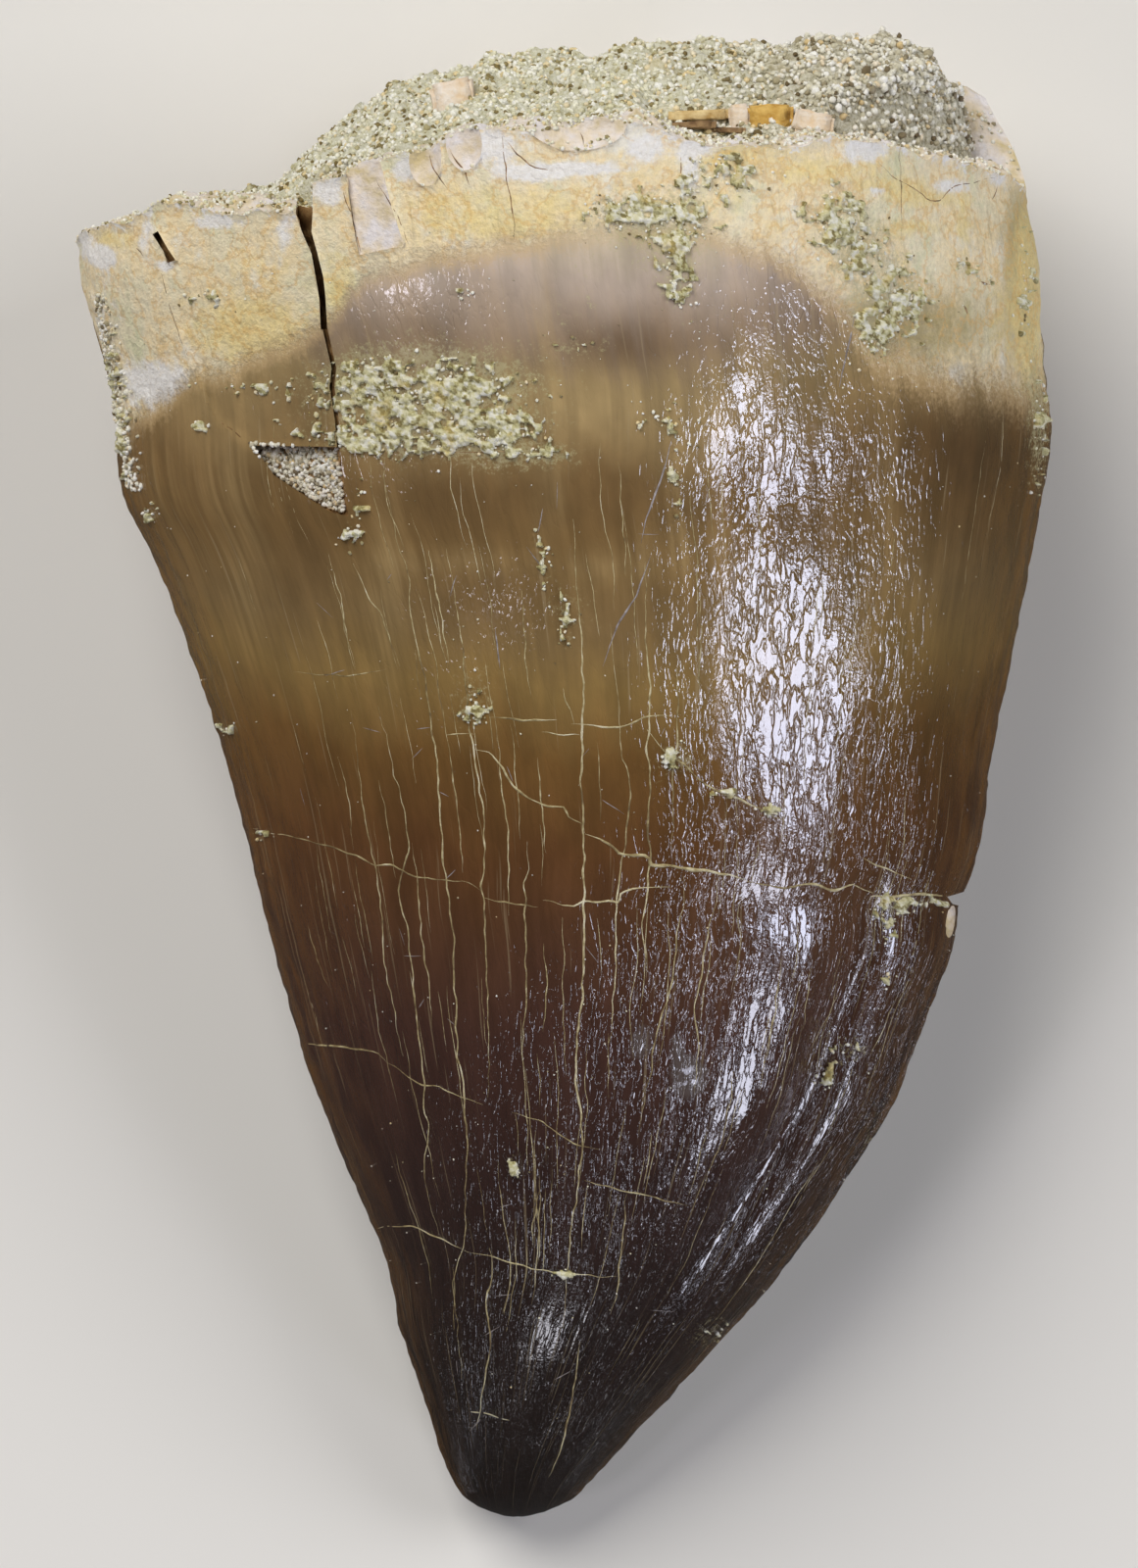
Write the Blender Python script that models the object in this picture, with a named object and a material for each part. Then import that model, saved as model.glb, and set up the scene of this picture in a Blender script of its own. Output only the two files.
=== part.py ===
"""A fossil mosasaur tooth crown with the sediment that fills its pulp cavity.

The crown lies on its inner face: the tip points to -Y, the broken base to +Y, and the outer face
is up. Sizes below are in millimetres, and the meshes are written in metres.
"""
import math

import bmesh
import bpy
import numpy as np
from mathutils import Vector, noise

MM = 0.001

# Crown: the two cutting edges, as (y, x), and the heights along them, as (y, z)
TIP_Y = -25.2
TIP_ROUND = 0.9
LEFT_EDGE = [(-25.2, -3.1), (-23.8, -3.9), (-21.2, -4.8), (-18.5, -5.7), (-16.4, -6.1), (-14.4, -6.9),
             (-10.7, -8.4), (-5.3, -10.0), (0.1, -11.3), (5.4, -13.0), (8.1, -14.1), (9.4, -14.8),
             (13.4, -15.4), (17.4, -16.5), (21.0, -16.5), (26.0, -16.6)]
RIGHT_EDGE = [(-25.2, -0.2), (-24.6, 0.3), (-22.3, 2.4), (-19.7, 4.8), (-16.6, 7.5), (-13.4, 9.7),
              (-10.7, 11.3), (-8.0, 12.3), (-5.3, 13.3), (-3.9, 13.5), (-3.2, 13.8), (1.4, 14.6),
              (8.1, 15.9), (12.1, 16.5), (14.7, 16.3), (17.4, 16.2), (20.5, 15.6), (26.0, 14.6)]
EDGE_HEIGHT = [(-25.2, 1.9), (-20, 3.2), (-10, 6.0), (0, 8.2), (10, 9.6), (20, 10.6), (26, 10.9)]
FRONT_HEIGHT = [(-25.2, 2.9), (-24, 4.3), (-20, 8.0), (-15, 11.4), (-10, 14.2), (-5, 16.5), (0, 18.5),
                (5, 20.2), (10, 21.6), (15, 22.8), (20, 23.7), (26, 24.3)]
BACK_HEIGHT = [(-25.2, 1.0), (-24, 0.2), (-22, -0.15), (-19, -0.2), (-16, 0.1), (-12, 0.5), (-6, 0.8),
               (0, 0.8), (5, 0.5), (9, 0.0), (13, -0.4), (21, -0.4), (26, 0.0)]
FLANK_POWER = 1.35
UNEVEN_CELL = 7.0
UNEVEN_HEIGHT = 0.035

# Groove that runs beside the right cutting edge on the outer face, as (y, depth)
GROOVE_INSET, GROOVE_WIDTH = 3.3, 0.85
GROOVE_DEPTH = [(-23, 0.0), (-18, 0.5), (-12, 0.95), (-6, 0.85), (-2, 0.2), (1, 0.0)]
# Flange between the groove and the edge, as (y, height)
FLANGE_INSET, FLANGE_WIDTH = 1.0, 1.0
FLANGE_HEIGHT = [(-23, 0.0), (-18, 0.35), (-12, 0.45), (-6, 0.45), (-3, 0.2), (0, 0.0)]

# Broken base: its rim seen from above, as (x, y), on the outer and on the inner face
FRONT_RIM = [(-16.5, 18.6), (-15.9, 18.9), (-14.7, 18.9), (-13.8, 19.4), (-13.0, 19.5), (-12.3, 19.3),
             (-8.9, 19.1), (-8.4, 19.9), (-7.5, 20.2), (-5.7, 20.8), (-4.7, 21.2), (-2.5, 21.6),
             (0.8, 21.7), (1.9, 22.1), (2.7, 21.9), (3.7, 21.3), (7.3, 21.2), (9.2, 21.6),
             (10.6, 21.4), (13.9, 20.8), (15.0, 20.6), (15.6, 20.3)]
BACK_RIM = [(-16.5, 18.6), (-14.5, 19.2), (-11.5, 19.6), (-9.0, 20.2), (-7.0, 22.0), (-5.5, 23.2),
            (-3.0, 24.0), (2.0, 24.2), (8.0, 24.6), (12.0, 24.3), (14.0, 23.9), (14.7, 23.4),
            (15.1, 22.3), (15.5, 20.8)]

# Pulp cavity, and the walls around it at the base
CAVITY_TIP_Y = 3.0
CAVITY_MOUTH_Y = 21.0
CAVITY_POWER = 0.6
WALL_LEFT, WALL_RIGHT, WALL_FRONT, WALL_BACK = 3.0, 1.6, 2.6, 2.4

# A cracked block of the base, left of the open crack, sits a little low
BLOCK_DROP = 0.25
BLOCK_LEFT = -13.0
BLOCK_LOWER = [(-13.9, 18.0), (-13.3, 16.3), (-12.5, 14.1), (-11.6, 12.3), (-10.4, 11.4), (-7.5, 11.2)]
BLOCK_RIGHT = [(9.0, -7.2), (13.3, -7.75), (16.2, -8.0), (19.0, -8.6), (22.0, -8.7)]

# Sediment crusts on the outer face: (x, y, half width, half length, thickness)
CRUSTS = [(-4.8, 12.6, 3.2, 1.2, 0.45), (3.2, 17.8, 2.0, 1.7, 0.40), (8.6, 18.8, 1.7, 1.3, 0.35),
          (10.9, 15.9, 1.6, 1.8, 0.35), (5.0, 20.2, 1.6, 0.9, 0.35)]
CRUST_LUMP = 0.9

# Sediment: its outline seen from above where it stands out of the base, as (x, y)
PLUG_GAP = 0.35
PLUG_OUTLINE = [(-13.6, 19.7), (-11.5, 19.8), (-9.5, 20.5), (-8.5, 21.4), (-7.5, 22.4), (-6.5, 23.2),
                (-5.5, 23.7), (-4.5, 23.9), (-2.5, 24.4), (1.5, 24.8), (5.4, 25.1), (7.4, 25.0),
                (8.4, 25.2), (11.4, 25.1), (12.4, 24.6), (12.9, 23.8), (14.1, 23.7)]
HOLLOW_BEHIND_RIM = (2.7, 8.9, 1.1)

# Mesh density
FRONT_COLUMNS, BACK_COLUMNS = 50, 24
TIP_RINGS, BODY_RINGS, CAVITY_RINGS = 4, 38, 7
PLUG_COLUMNS, PLUG_SIDE_RINGS, PLUG_END_RINGS = 48, 6, 7

CUTTER_TOP = 28.0


def curve(points, at):
    """Smooth curve through (position, value) points, read at the given positions."""
    place, value = np.array(points, float).T
    slope = np.gradient(value, place)
    low = np.clip(np.searchsorted(place, at) - 1, 0, len(place) - 2)
    span = place[low + 1] - place[low]
    t = np.clip((at - place[low]) / span, 0, 1)
    return ((2 * t**3 - 3 * t**2 + 1) * value[low] + (t**3 - 2 * t**2 + t) * span * slope[low]
            + (3 * t**2 - 2 * t**3) * value[low + 1] + (t**3 - t**2) * span * slope[low + 1])


def broken_line(points, at):
    """Straight runs through (position, value) points, for the jagged broken edges."""
    place, value = np.array(points, float).T
    return np.interp(at, place, value)


def step(value, width):
    """0 well below zero, 1 well above it, smooth over the given width."""
    t = np.clip(value / width + 0.5, 0, 1)
    return t * t * (3 - 2 * t)


def uneven(x, y, z, cell):
    """Smooth noise from -1 to 1 with cells of the given size."""
    points = np.stack(np.broadcast_arrays(x, y, z), axis=-1).reshape(-1, 3) / cell
    values = [noise.noise(Vector(point)) for point in points]
    return np.array(values).reshape(np.broadcast(x, y, z).shape)


def relief(x, y):
    """Height of ledges, crusts, groove and flange on the outer face, over the plain crown."""
    inside = step(y - broken_line(BLOCK_LOWER, x), 0.3) * step(curve(BLOCK_RIGHT, y) - x, 0.2)
    height = -BLOCK_DROP * inside * step(x - BLOCK_LEFT, 2.0)
    inset = curve(RIGHT_EDGE, y) - x
    height -= curve(GROOVE_DEPTH, y) * np.exp(-((inset - GROOVE_INSET) / GROOVE_WIDTH) ** 2)
    height += curve(FLANGE_HEIGHT, y) * np.exp(-((inset - FLANGE_INSET) / FLANGE_WIDTH) ** 2)
    lumps = 1 + 0.8 * uneven(x, y, 0, CRUST_LUMP)
    for middle_x, middle_y, half_x, half_y, thickness in CRUSTS:
        away = np.hypot((x - middle_x) / half_x, (y - middle_y) / half_y)
        height += thickness * step(1 - away, 0.7) * lumps
    return height


def crown_point(y, angle):
    """Point of the crown's outer surface; the angle runs from the right edge over the front."""
    left, right = curve(LEFT_EDGE, y), curve(RIGHT_EDGE, y)
    middle, half = (left + right) / 2, (right - left) / 2
    edge = curve(EDGE_HEIGHT, y)
    front = np.sin(angle) >= 0
    reach = np.where(front, curve(FRONT_HEIGHT, y), curve(BACK_HEIGHT, y)) - edge
    from_tip = np.clip((y - TIP_Y) / TIP_ROUND, 0, 1)
    taper = np.sqrt(1 - (1 - from_tip) ** 2)
    rise = np.abs(np.sin(angle)) ** FLANK_POWER
    x = middle + half * taper * np.cos(angle)
    swell = 1 + UNEVEN_HEIGHT * rise * uneven(x, y, edge + reach * rise, UNEVEN_CELL)
    x = middle + (x - middle) * swell
    z = edge + reach * rise * taper * swell
    z = np.where(front, z + relief(x, y) * step(rise - 0.1, 0.2), z)
    return x, y + 0 * x, np.maximum(z, 0)


def front_height(x, y):
    """Height of the outer face over a point of the floor."""
    left, right = curve(LEFT_EDGE, y), curve(RIGHT_EDGE, y)
    across = np.clip((2 * x - left - right) / (right - left), -1, 1)
    return crown_point(y, np.arccos(across))[2]


def rim_height(x, angle):
    """How far along Y the broken base reaches, over a place across it."""
    return np.where(np.sin(angle) >= 0, broken_line(FRONT_RIM, x), broken_line(BACK_RIM, x))


def cavity_point(y, angle, gap=0.0, shrink=1.0):
    """Point of the cavity's wall, pulled in by a gap and shrunk towards the middle."""
    left = curve(LEFT_EDGE, y) + WALL_LEFT + gap
    right = curve(RIGHT_EDGE, y) - WALL_RIGHT - gap
    edge = curve(EDGE_HEIGHT, y)
    above = curve(FRONT_HEIGHT, y) - WALL_FRONT - gap - edge
    below = np.maximum(curve(BACK_HEIGHT, y), 0) + WALL_BACK + gap - edge
    start = CAVITY_TIP_Y + 2 * gap
    taper = np.clip((y - start) / (CAVITY_MOUTH_Y - start), 0, 1) ** CAVITY_POWER * shrink
    reach = np.where(np.sin(angle) >= 0, above, below)
    x = (left + right) / 2 + (right - left) / 2 * taper * np.cos(angle)
    return x, y + 0 * x, edge + reach * taper * np.abs(np.sin(angle)) ** FLANK_POWER


def loft(name, rings, start, end):
    """One closed surface through rings of points, with a single point at each end."""
    shape = bmesh.new()
    rows = [[shape.verts.new(Vector(point) * MM) for point in ring] for ring in rings]
    first, last = (shape.verts.new(Vector(point) * MM) for point in (start, end))
    count = len(rows[0])
    for column in range(count):
        beside = (column + 1) % count
        shape.faces.new((first, rows[0][beside], rows[0][column]))
        shape.faces.new((last, rows[-1][column], rows[-1][beside]))
        for low, high in zip(rows, rows[1:]):
            shape.faces.new((low[column], low[beside], high[beside], high[column]))
    bmesh.ops.recalc_face_normals(shape, faces=shape.faces)
    return mesh_object(name, shape)


def mesh_object(name, shape):
    """Blender object from a bmesh, which it frees."""
    mesh = bpy.data.meshes.new(name)
    shape.to_mesh(mesh)
    shape.free()
    return bpy.data.objects.new(name, mesh)


def ring_points(x, y, z):
    """Points of one ring from its coordinate arrays."""
    return np.stack(np.broadcast_arrays(x, y, z), axis=-1)


def build_crown():
    """Crown as one loft: tip, outer surface, broken rim, then the cavity down to its end."""
    angle = np.concatenate([np.linspace(0, math.pi, FRONT_COLUMNS, endpoint=False),
                            np.linspace(math.pi, 2 * math.pi, BACK_COLUMNS, endpoint=False)])
    rim = rim_height(crown_point(np.full_like(angle, CAVITY_MOUTH_Y), angle)[0], angle)
    body_start = TIP_Y + TIP_ROUND
    turn = np.linspace(0, math.pi / 2, TIP_RINGS + 1)[1:]
    heights = [np.full_like(angle, TIP_Y + TIP_ROUND * (1 - math.cos(a))) for a in turn]
    heights += [body_start + (rim - body_start) * t for t in np.linspace(0, 1, BODY_RINGS + 1)[1:]]
    rings = [ring_points(*crown_point(y, angle)) for y in heights]

    front = np.sin(angle) >= 0
    mouth = ring_points(*cavity_point(rim + np.where(front, 0.3, -0.1), angle))
    ledge = (rings[-1] + mouth) / 2
    ledge[:, 1] += 0.15 + 0.5 * uneven(*ledge.T, 1.5)
    rings += [ledge, mouth]
    for t in np.linspace(0, 1, CAVITY_RINGS + 1)[1:-1]:
        y = mouth[:, 1] + (CAVITY_TIP_Y - mouth[:, 1]) * t
        rings.append(ring_points(*cavity_point(y, angle)))

    tip = ((LEFT_EDGE[0][1] + RIGHT_EDGE[0][1]) / 2, TIP_Y, EDGE_HEIGHT[0][1])
    end = cavity_point(np.array(CAVITY_TIP_Y), 0.0)
    return loft("tooth_crown", rings, tip, [float(value) for value in end])


def plug_end(x, rise, front):
    """How far along Y the sediment stands out, over a place of the base."""
    top = broken_line(PLUG_OUTLINE, x)
    start, stop, depth = HOLLOW_BEHIND_RIM
    hollow = depth * step(x - start, 0.8) * step(stop - x, 0.8) * step(rise - 0.6, 0.4)
    at_front = broken_line(FRONT_RIM, x) - 0.1 - hollow
    at_back = broken_line(BACK_RIM, x) - 0.3
    edge = np.where(front, np.minimum(at_front, top), np.minimum(at_back, top))
    return top + (edge - top) * np.where(front, rise**1.5, rise**2)


def build_plug():
    """Sediment as one loft: its end in the cavity, its side, then the lumpy end at the base."""
    angle = np.linspace(0, 2 * math.pi, PLUG_COLUMNS, endpoint=False)
    front = np.sin(angle) >= 0
    rise = np.abs(np.sin(angle)) ** FLANK_POWER
    mouth_x = cavity_point(np.full_like(angle, CAVITY_MOUTH_Y), angle, PLUG_GAP)[0]
    mouth_y = plug_end(mouth_x, rise, front)
    start = CAVITY_TIP_Y + 2 * PLUG_GAP
    rings = []
    for t in np.linspace(0, 1, PLUG_SIDE_RINGS + 1)[1:]:
        rings.append(ring_points(*cavity_point(start + (mouth_y - start) * t, angle, PLUG_GAP)))
    for shrink in np.linspace(1, 0, PLUG_END_RINGS + 1)[1:-1]:
        x, _, z = cavity_point(mouth_y, angle, PLUG_GAP, shrink)
        y = plug_end(x, rise * shrink, front)
        rings.append(ring_points(x, y + 0.5 * uneven(x, y, z, 1.8), z))
    middle = cavity_point(np.array(CAVITY_MOUTH_Y), 0.0, PLUG_GAP, 0.0)
    first = [float(value) for value in cavity_point(np.array(start), 0.0, PLUG_GAP)]
    last = (float(middle[0]), float(plug_end(middle[0], 0.0, True)), float(middle[2]))
    return loft("cavity_matrix", rings, first, last)


def prism_cutter(name, outline, depth):
    """Cutter over an outline seen from above, down to a depth under the outer face."""
    shape = bmesh.new()
    floor = [Vector((x, y, float(front_height(np.array(x), np.array(y))) - depth)) for x, y in outline]
    low = [shape.verts.new(point * MM) for point in floor]
    high = [shape.verts.new(Vector((x, y, CUTTER_TOP)) * MM) for x, y in outline]
    shape.faces.new(low)
    shape.faces.new(high)
    for i, j in zip(range(len(outline)), list(range(1, len(outline))) + [0]):
        shape.faces.new((low[i], low[j], high[j], high[i]))
    bmesh.ops.recalc_face_normals(shape, faces=shape.faces)
    return mesh_object(name, shape)


def scoop_cutter(name, place, radii, depth):
    """Ellipsoid that scoops a shallow chip, of a depth, out of the outer face."""
    x, y = place
    height = float(front_height(np.array(x), np.array(y))) + radii[2] - depth
    shape = bmesh.new()
    bmesh.ops.create_uvsphere(shape, u_segments=16, v_segments=10, radius=1.0)
    bmesh.ops.scale(shape, vec=Vector(radii) * MM, verts=shape.verts)
    bmesh.ops.translate(shape, vec=Vector((x, y, height)) * MM, verts=shape.verts)
    return mesh_object(name, shape)


def crown_cutters():
    """Every crack, pocket and chip that is cut from the crown."""
    return [
        prism_cutter("open_crack", [(-8.95, 20.8), (-8.35, 20.8), (-8.35, 18.4), (-8.2, 17.3),
                                    (-7.88, 16.0), (-7.86, 15.1), (-8.06, 15.1), (-8.14, 16.2),
                                    (-8.4, 17.6), (-8.75, 18.4)], 5.5),
        prism_cutter("lower_crack", [(-7.86, 13.7), (-7.62, 13.7), (-7.46, 12.1), (-7.64, 12.1)], 2.0),
        prism_cutter("matrix_pocket", [(-10.4, 11.4), (-7.5, 11.3), (-7.2, 9.0), (-7.8, 9.15),
                                       (-8.8, 9.8), (-9.7, 10.4)], 0.7),
        prism_cutter("rim_slit", [(-13.95, 18.7), (-13.55, 18.8), (-13.05, 17.6), (-13.35, 17.55)], 1.4),
        prism_cutter("edge_notch", [(13.0, -3.75), (14.6, -3.35), (14.6, -4.35), (13.2, -4.0)], 9.0),
        prism_cutter("slanting_spall", [(-7.4, 21.5), (-7.0, 18.6), (-6.8, 17.6), (-5.3, 17.9),
                                        (-5.7, 19.1), (-6.3, 21.5)], 0.3),
        scoop_cutter("left_chip", (-4.7, 20.6), (0.8, 1.4, 1.2), 0.3),
        scoop_cutter("right_chip", (-3.4, 21.1), (0.9, 1.3, 1.2), 0.3),
        scoop_cutter("rim_chip", (0.7, 21.8), (2.9, 1.4, 2.4), 0.5),
    ]


def give_material(part, color, roughness):
    """Plain material with the piece's colour."""
    material = bpy.data.materials.new(part.name)
    material.use_nodes = True
    shader = material.node_tree.nodes["Principled BSDF"]
    shader.inputs["Base Color"].default_value = (*color, 1.0)
    shader.inputs["Roughness"].default_value = roughness
    shader.inputs["Metallic"].default_value = 0.0
    part.data.materials.append(material)


def cut(part, cutter):
    """Boolean difference that keeps its modifier."""
    modifier = part.modifiers.new(cutter.name, "BOOLEAN")
    modifier.operation = "DIFFERENCE"
    modifier.solver = "EXACT"
    modifier.object = cutter


def new_collection(name):
    """Collection in the scene."""
    collection = bpy.data.collections.new(name)
    bpy.context.scene.collection.children.link(collection)
    return collection


def main():
    for old in list(bpy.data.objects):
        bpy.data.objects.remove(old, do_unlink=True)
    tooth, cutters = new_collection("mosasaur_tooth"), new_collection("cutters")

    crown = build_crown()
    tooth.objects.link(crown)
    give_material(crown, (0.16, 0.09, 0.045), 0.3)
    for cutter in crown_cutters():
        cutters.objects.link(cutter)
        cutter.hide_render = True
        cutter.display_type = "WIRE"
        cut(crown, cutter)

    plug = build_plug()
    tooth.objects.link(plug)
    give_material(plug, (0.47, 0.45, 0.36), 0.9)


main()
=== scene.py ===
"""Looks of the fossil mosasaur tooth crown: surfaces, cracks, crusts, light and camera.

Places are in millimetres unless a name says PX, which means a pixel of the photograph.
"""
import math
from contextlib import contextmanager

import bmesh
import bpy
import numpy as np
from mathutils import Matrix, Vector, noise
from mathutils.bvhtree import BVHTree


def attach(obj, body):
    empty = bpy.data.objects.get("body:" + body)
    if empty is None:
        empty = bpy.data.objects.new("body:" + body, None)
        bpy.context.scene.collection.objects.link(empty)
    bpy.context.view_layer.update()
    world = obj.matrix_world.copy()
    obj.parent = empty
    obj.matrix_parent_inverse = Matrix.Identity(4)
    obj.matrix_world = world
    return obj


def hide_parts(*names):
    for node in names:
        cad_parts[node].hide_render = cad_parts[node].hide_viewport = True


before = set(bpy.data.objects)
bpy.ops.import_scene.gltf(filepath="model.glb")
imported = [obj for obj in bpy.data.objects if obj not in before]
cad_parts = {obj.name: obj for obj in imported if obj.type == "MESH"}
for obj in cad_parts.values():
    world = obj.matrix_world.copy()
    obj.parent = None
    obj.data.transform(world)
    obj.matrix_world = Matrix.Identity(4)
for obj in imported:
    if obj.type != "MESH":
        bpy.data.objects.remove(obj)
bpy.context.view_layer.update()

MM = 0.001

# Camera: it looks straight down, and the photograph has 30 pixels to a millimetre at PLANE
CAMERA_HEIGHT, PLANE, PX_PER_MM = 500.0, 9.0, 30.0
PHOTO_SIZE_PX, PHOTO_MIDDLE_PX, AIM = (1161, 1600), (580.5, 800.0), (0.15, 0.083)
SENSOR = 36.0
# Soft lights: azimuth and elevation, distance and (width, height) in metres, radiance, colour, and
# kind: both, fill for one that isn't mirrored, or gleam for one that only is
LIGHTS = [
    ("right_window", -30, 27, 0.60, (0.12, 0.30), 15.5, (0.75, 0.80, 1.0), "gleam"),
    ("right_low", -48, 14, 0.60, (0.12, 0.18), 12.5, (0.82, 0.84, 1.0), "both"),
    ("right_fill", 15, 40, 0.80, (0.40, 0.40), 5.2, (0.98, 0.98, 1.0), "fill"),
    ("back_fill", 125, 48, 0.80, (0.50, 0.50), 7.2, (1.0, 0.98, 0.94), "fill"),
    ("front_low", -100, 17, 0.60, (0.20, 0.07), 8.0, (0.92, 0.92, 1.0), "both"),
    ("left_front", -156, 47, 0.60, (0.10, 0.09), 10.0, (0.92, 0.88, 1.0), "both"),
]
FLOOR_SIZE, SURROUNDING_LIGHT = 4.0, 0.05

# Crown: the two cutting edges, as (y, x), and the heights along them, as (y, z)
TIP_Y = -25.2
TIP_ROUND = 0.9
LEFT_EDGE = [
    (-25.2, -3.1), (-23.8, -3.9), (-21.2, -4.8), (-18.5, -5.7), (-16.4, -6.1), (-14.4, -6.9),
    (-10.7, -8.4), (-5.3, -10.0), (0.1, -11.3), (5.4, -13.0), (8.1, -14.1), (9.4, -14.8), (13.4, -15.4),
    (17.4, -16.5), (21.0, -16.5), (26.0, -16.6),
]
RIGHT_EDGE = [
    (-25.2, -0.2), (-24.6, 0.3), (-22.3, 2.4), (-19.7, 4.8), (-16.6, 7.5), (-13.4, 9.7), (-10.7, 11.3),
    (-8.0, 12.3), (-5.3, 13.3), (-3.9, 13.5), (-3.2, 13.8), (1.4, 14.6), (8.1, 15.9), (12.1, 16.5),
    (14.7, 16.3), (17.4, 16.2), (20.5, 15.6), (26.0, 14.6),
]
EDGE_HEIGHT = [(-25.2, 1.9), (-20, 3.2), (-10, 6.0), (0, 8.2), (10, 9.6), (20, 10.6), (26, 10.9)]
FRONT_HEIGHT = [
    (-25.2, 2.9), (-24, 4.3), (-20, 8.0), (-15, 11.4), (-10, 14.2), (-5, 16.5), (0, 18.5), (5, 20.2),
    (10, 21.6), (15, 22.8), (20, 23.7), (26, 24.3),
]
BACK_HEIGHT = [
    (-25.2, 1.0), (-24, 0.2), (-22, -0.15), (-19, -0.2), (-16, 0.1), (-12, 0.5), (-6, 0.8), (0, 0.8),
    (5, 0.5), (9, 0.0), (13, -0.4), (21, -0.4), (26, 0.0),
]
FLANK_POWER = 1.35
UNEVEN_CELL = 7.0
UNEVEN_HEIGHT = 0.035
GROOVE_INSET, GROOVE_WIDTH = 3.3, 0.85
GROOVE_DEPTH = [(-23, 0.0), (-18, 0.5), (-12, 0.95), (-6, 0.85), (-2, 0.2), (1, 0.0)]
FLANGE_INSET, FLANGE_WIDTH = 1.0, 1.0
FLANGE_HEIGHT = [(-23, 0.0), (-18, 0.35), (-12, 0.45), (-6, 0.45), (-3, 0.2), (0, 0.0)]

# Broken base: its rim seen from above, as (x, y), on the outer and on the inner face
FRONT_RIM = [
    (-16.5, 18.6), (-15.9, 18.9), (-14.7, 18.9), (-13.8, 19.4), (-13.0, 19.5), (-12.3, 19.3), (-8.9, 19.1),
    (-8.4, 19.9), (-7.5, 20.2), (-5.7, 20.8), (-4.7, 21.2), (-2.5, 21.6), (0.8, 21.7), (1.9, 22.1),
    (2.7, 21.9), (3.7, 21.3), (7.3, 21.2), (9.2, 21.6), (10.6, 21.4), (13.9, 20.8), (15.0, 20.6),
    (15.6, 20.3),
]
BACK_RIM = [
    (-16.5, 18.6), (-14.5, 19.2), (-11.5, 19.6), (-9.0, 20.2), (-7.0, 22.0), (-5.5, 23.2), (-3.0, 24.0),
    (2.0, 24.2), (8.0, 24.6), (12.0, 24.3), (14.0, 23.9), (14.7, 23.4), (15.1, 22.3), (15.5, 20.8),
]
CAVITY_TIP_Y, CAVITY_MOUTH_Y, CAVITY_POWER = 3.0, 21.0, 0.6
WALL_LEFT, WALL_RIGHT, WALL_FRONT, WALL_BACK = 3.0, 1.6, 2.6, 2.4
BLOCK_DROP, BLOCK_LEFT = 0.25, -13.0
BLOCK_LOWER = [(-13.9, 18.0), (-13.3, 16.3), (-12.5, 14.1), (-11.6, 12.3), (-10.4, 11.4), (-7.5, 11.2)]
BLOCK_RIGHT = [(9.0, -7.2), (13.3, -7.75), (16.2, -8.0), (19.0, -8.6), (22.0, -8.7)]
PLUG_OUTLINE = [
    (-13.6, 19.7), (-11.5, 19.8), (-9.5, 20.5), (-8.5, 21.4), (-7.5, 22.4), (-6.5, 23.2), (-5.5, 23.7),
    (-4.5, 23.9), (-2.5, 24.4), (1.5, 24.8), (5.4, 25.1), (7.4, 25.0), (8.4, 25.2), (11.4, 25.1),
    (12.4, 24.6), (12.9, 23.8), (14.1, 23.7),
]
HOLLOW_BEHIND_RIM = (2.7, 8.9, 1.1)

# Materials of the crown's faces: its own surface, clean breaks, and breaks stained inside cracks
CROWN_FINISHES = ("enamel_and_dentine", "clean_break", "stained_break")
# Fine relief
ENAMEL_FLUTES, DENTINE_DROP, DENTINE_LUMPS, EDGE_KNOBS = 0.03, 0.10, 0.05, 0.07
# Sediment crust: its thickness, the height of its granules, and its mesh and granules in pixels
CRUST_THICKNESS, GRANULE_HEIGHT, CRUST_STEP_PX, GRANULE_PX = 0.11, 0.055, 1.5, 4.8
# Ends of the area with crusts, across and down
CRUST_AREA_PX = ((80, 1085), (130, 1420))

# Mesh density
FRONT_COLUMNS, BACK_COLUMNS = 290, 90
TIP_RINGS, BODY_RINGS, LEDGE_RINGS, CAVITY_RINGS = 10, 205, 6, 10
PLUG_GAP, PLUG_COLUMNS, PLUG_SIDE_RINGS, PLUG_END_RINGS = 0.05, 260, 16, 70
CUTTER_TOP = 28.0
TUBE_SIDES = 5
# What is strewn by chance: grains, or tries that give one where there is a crust or the pocket
PLUG_GRAINS, LEDGE_GRAINS, EDGE_GRAINS, STRAY_GRAINS = 9900, 3800, 420, 500
CRUST_TRIES, POCKET_TRIES = 2600, 1400
# Fine cracks, how many of them are on the outer face, and small scratches
HAIRLINES, FRONT_HAIRLINES, SMALL_SCRATCHES = 230, 130, 46
SEED = 11

# Colour zones of the outer face, in pixels: where enamel begins, as (x, y)
ENAMEL_START_PX = [
    (80, 455), (131, 431), (164, 415), (197, 385), (235, 380), (271, 360), (306, 348), (335, 330),
    (370, 285), (450, 262), (560, 242), (640, 232), (720, 240), (790, 262), (850, 305), (900, 362),
    (960, 385), (1040, 398), (1090, 400),
]
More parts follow.
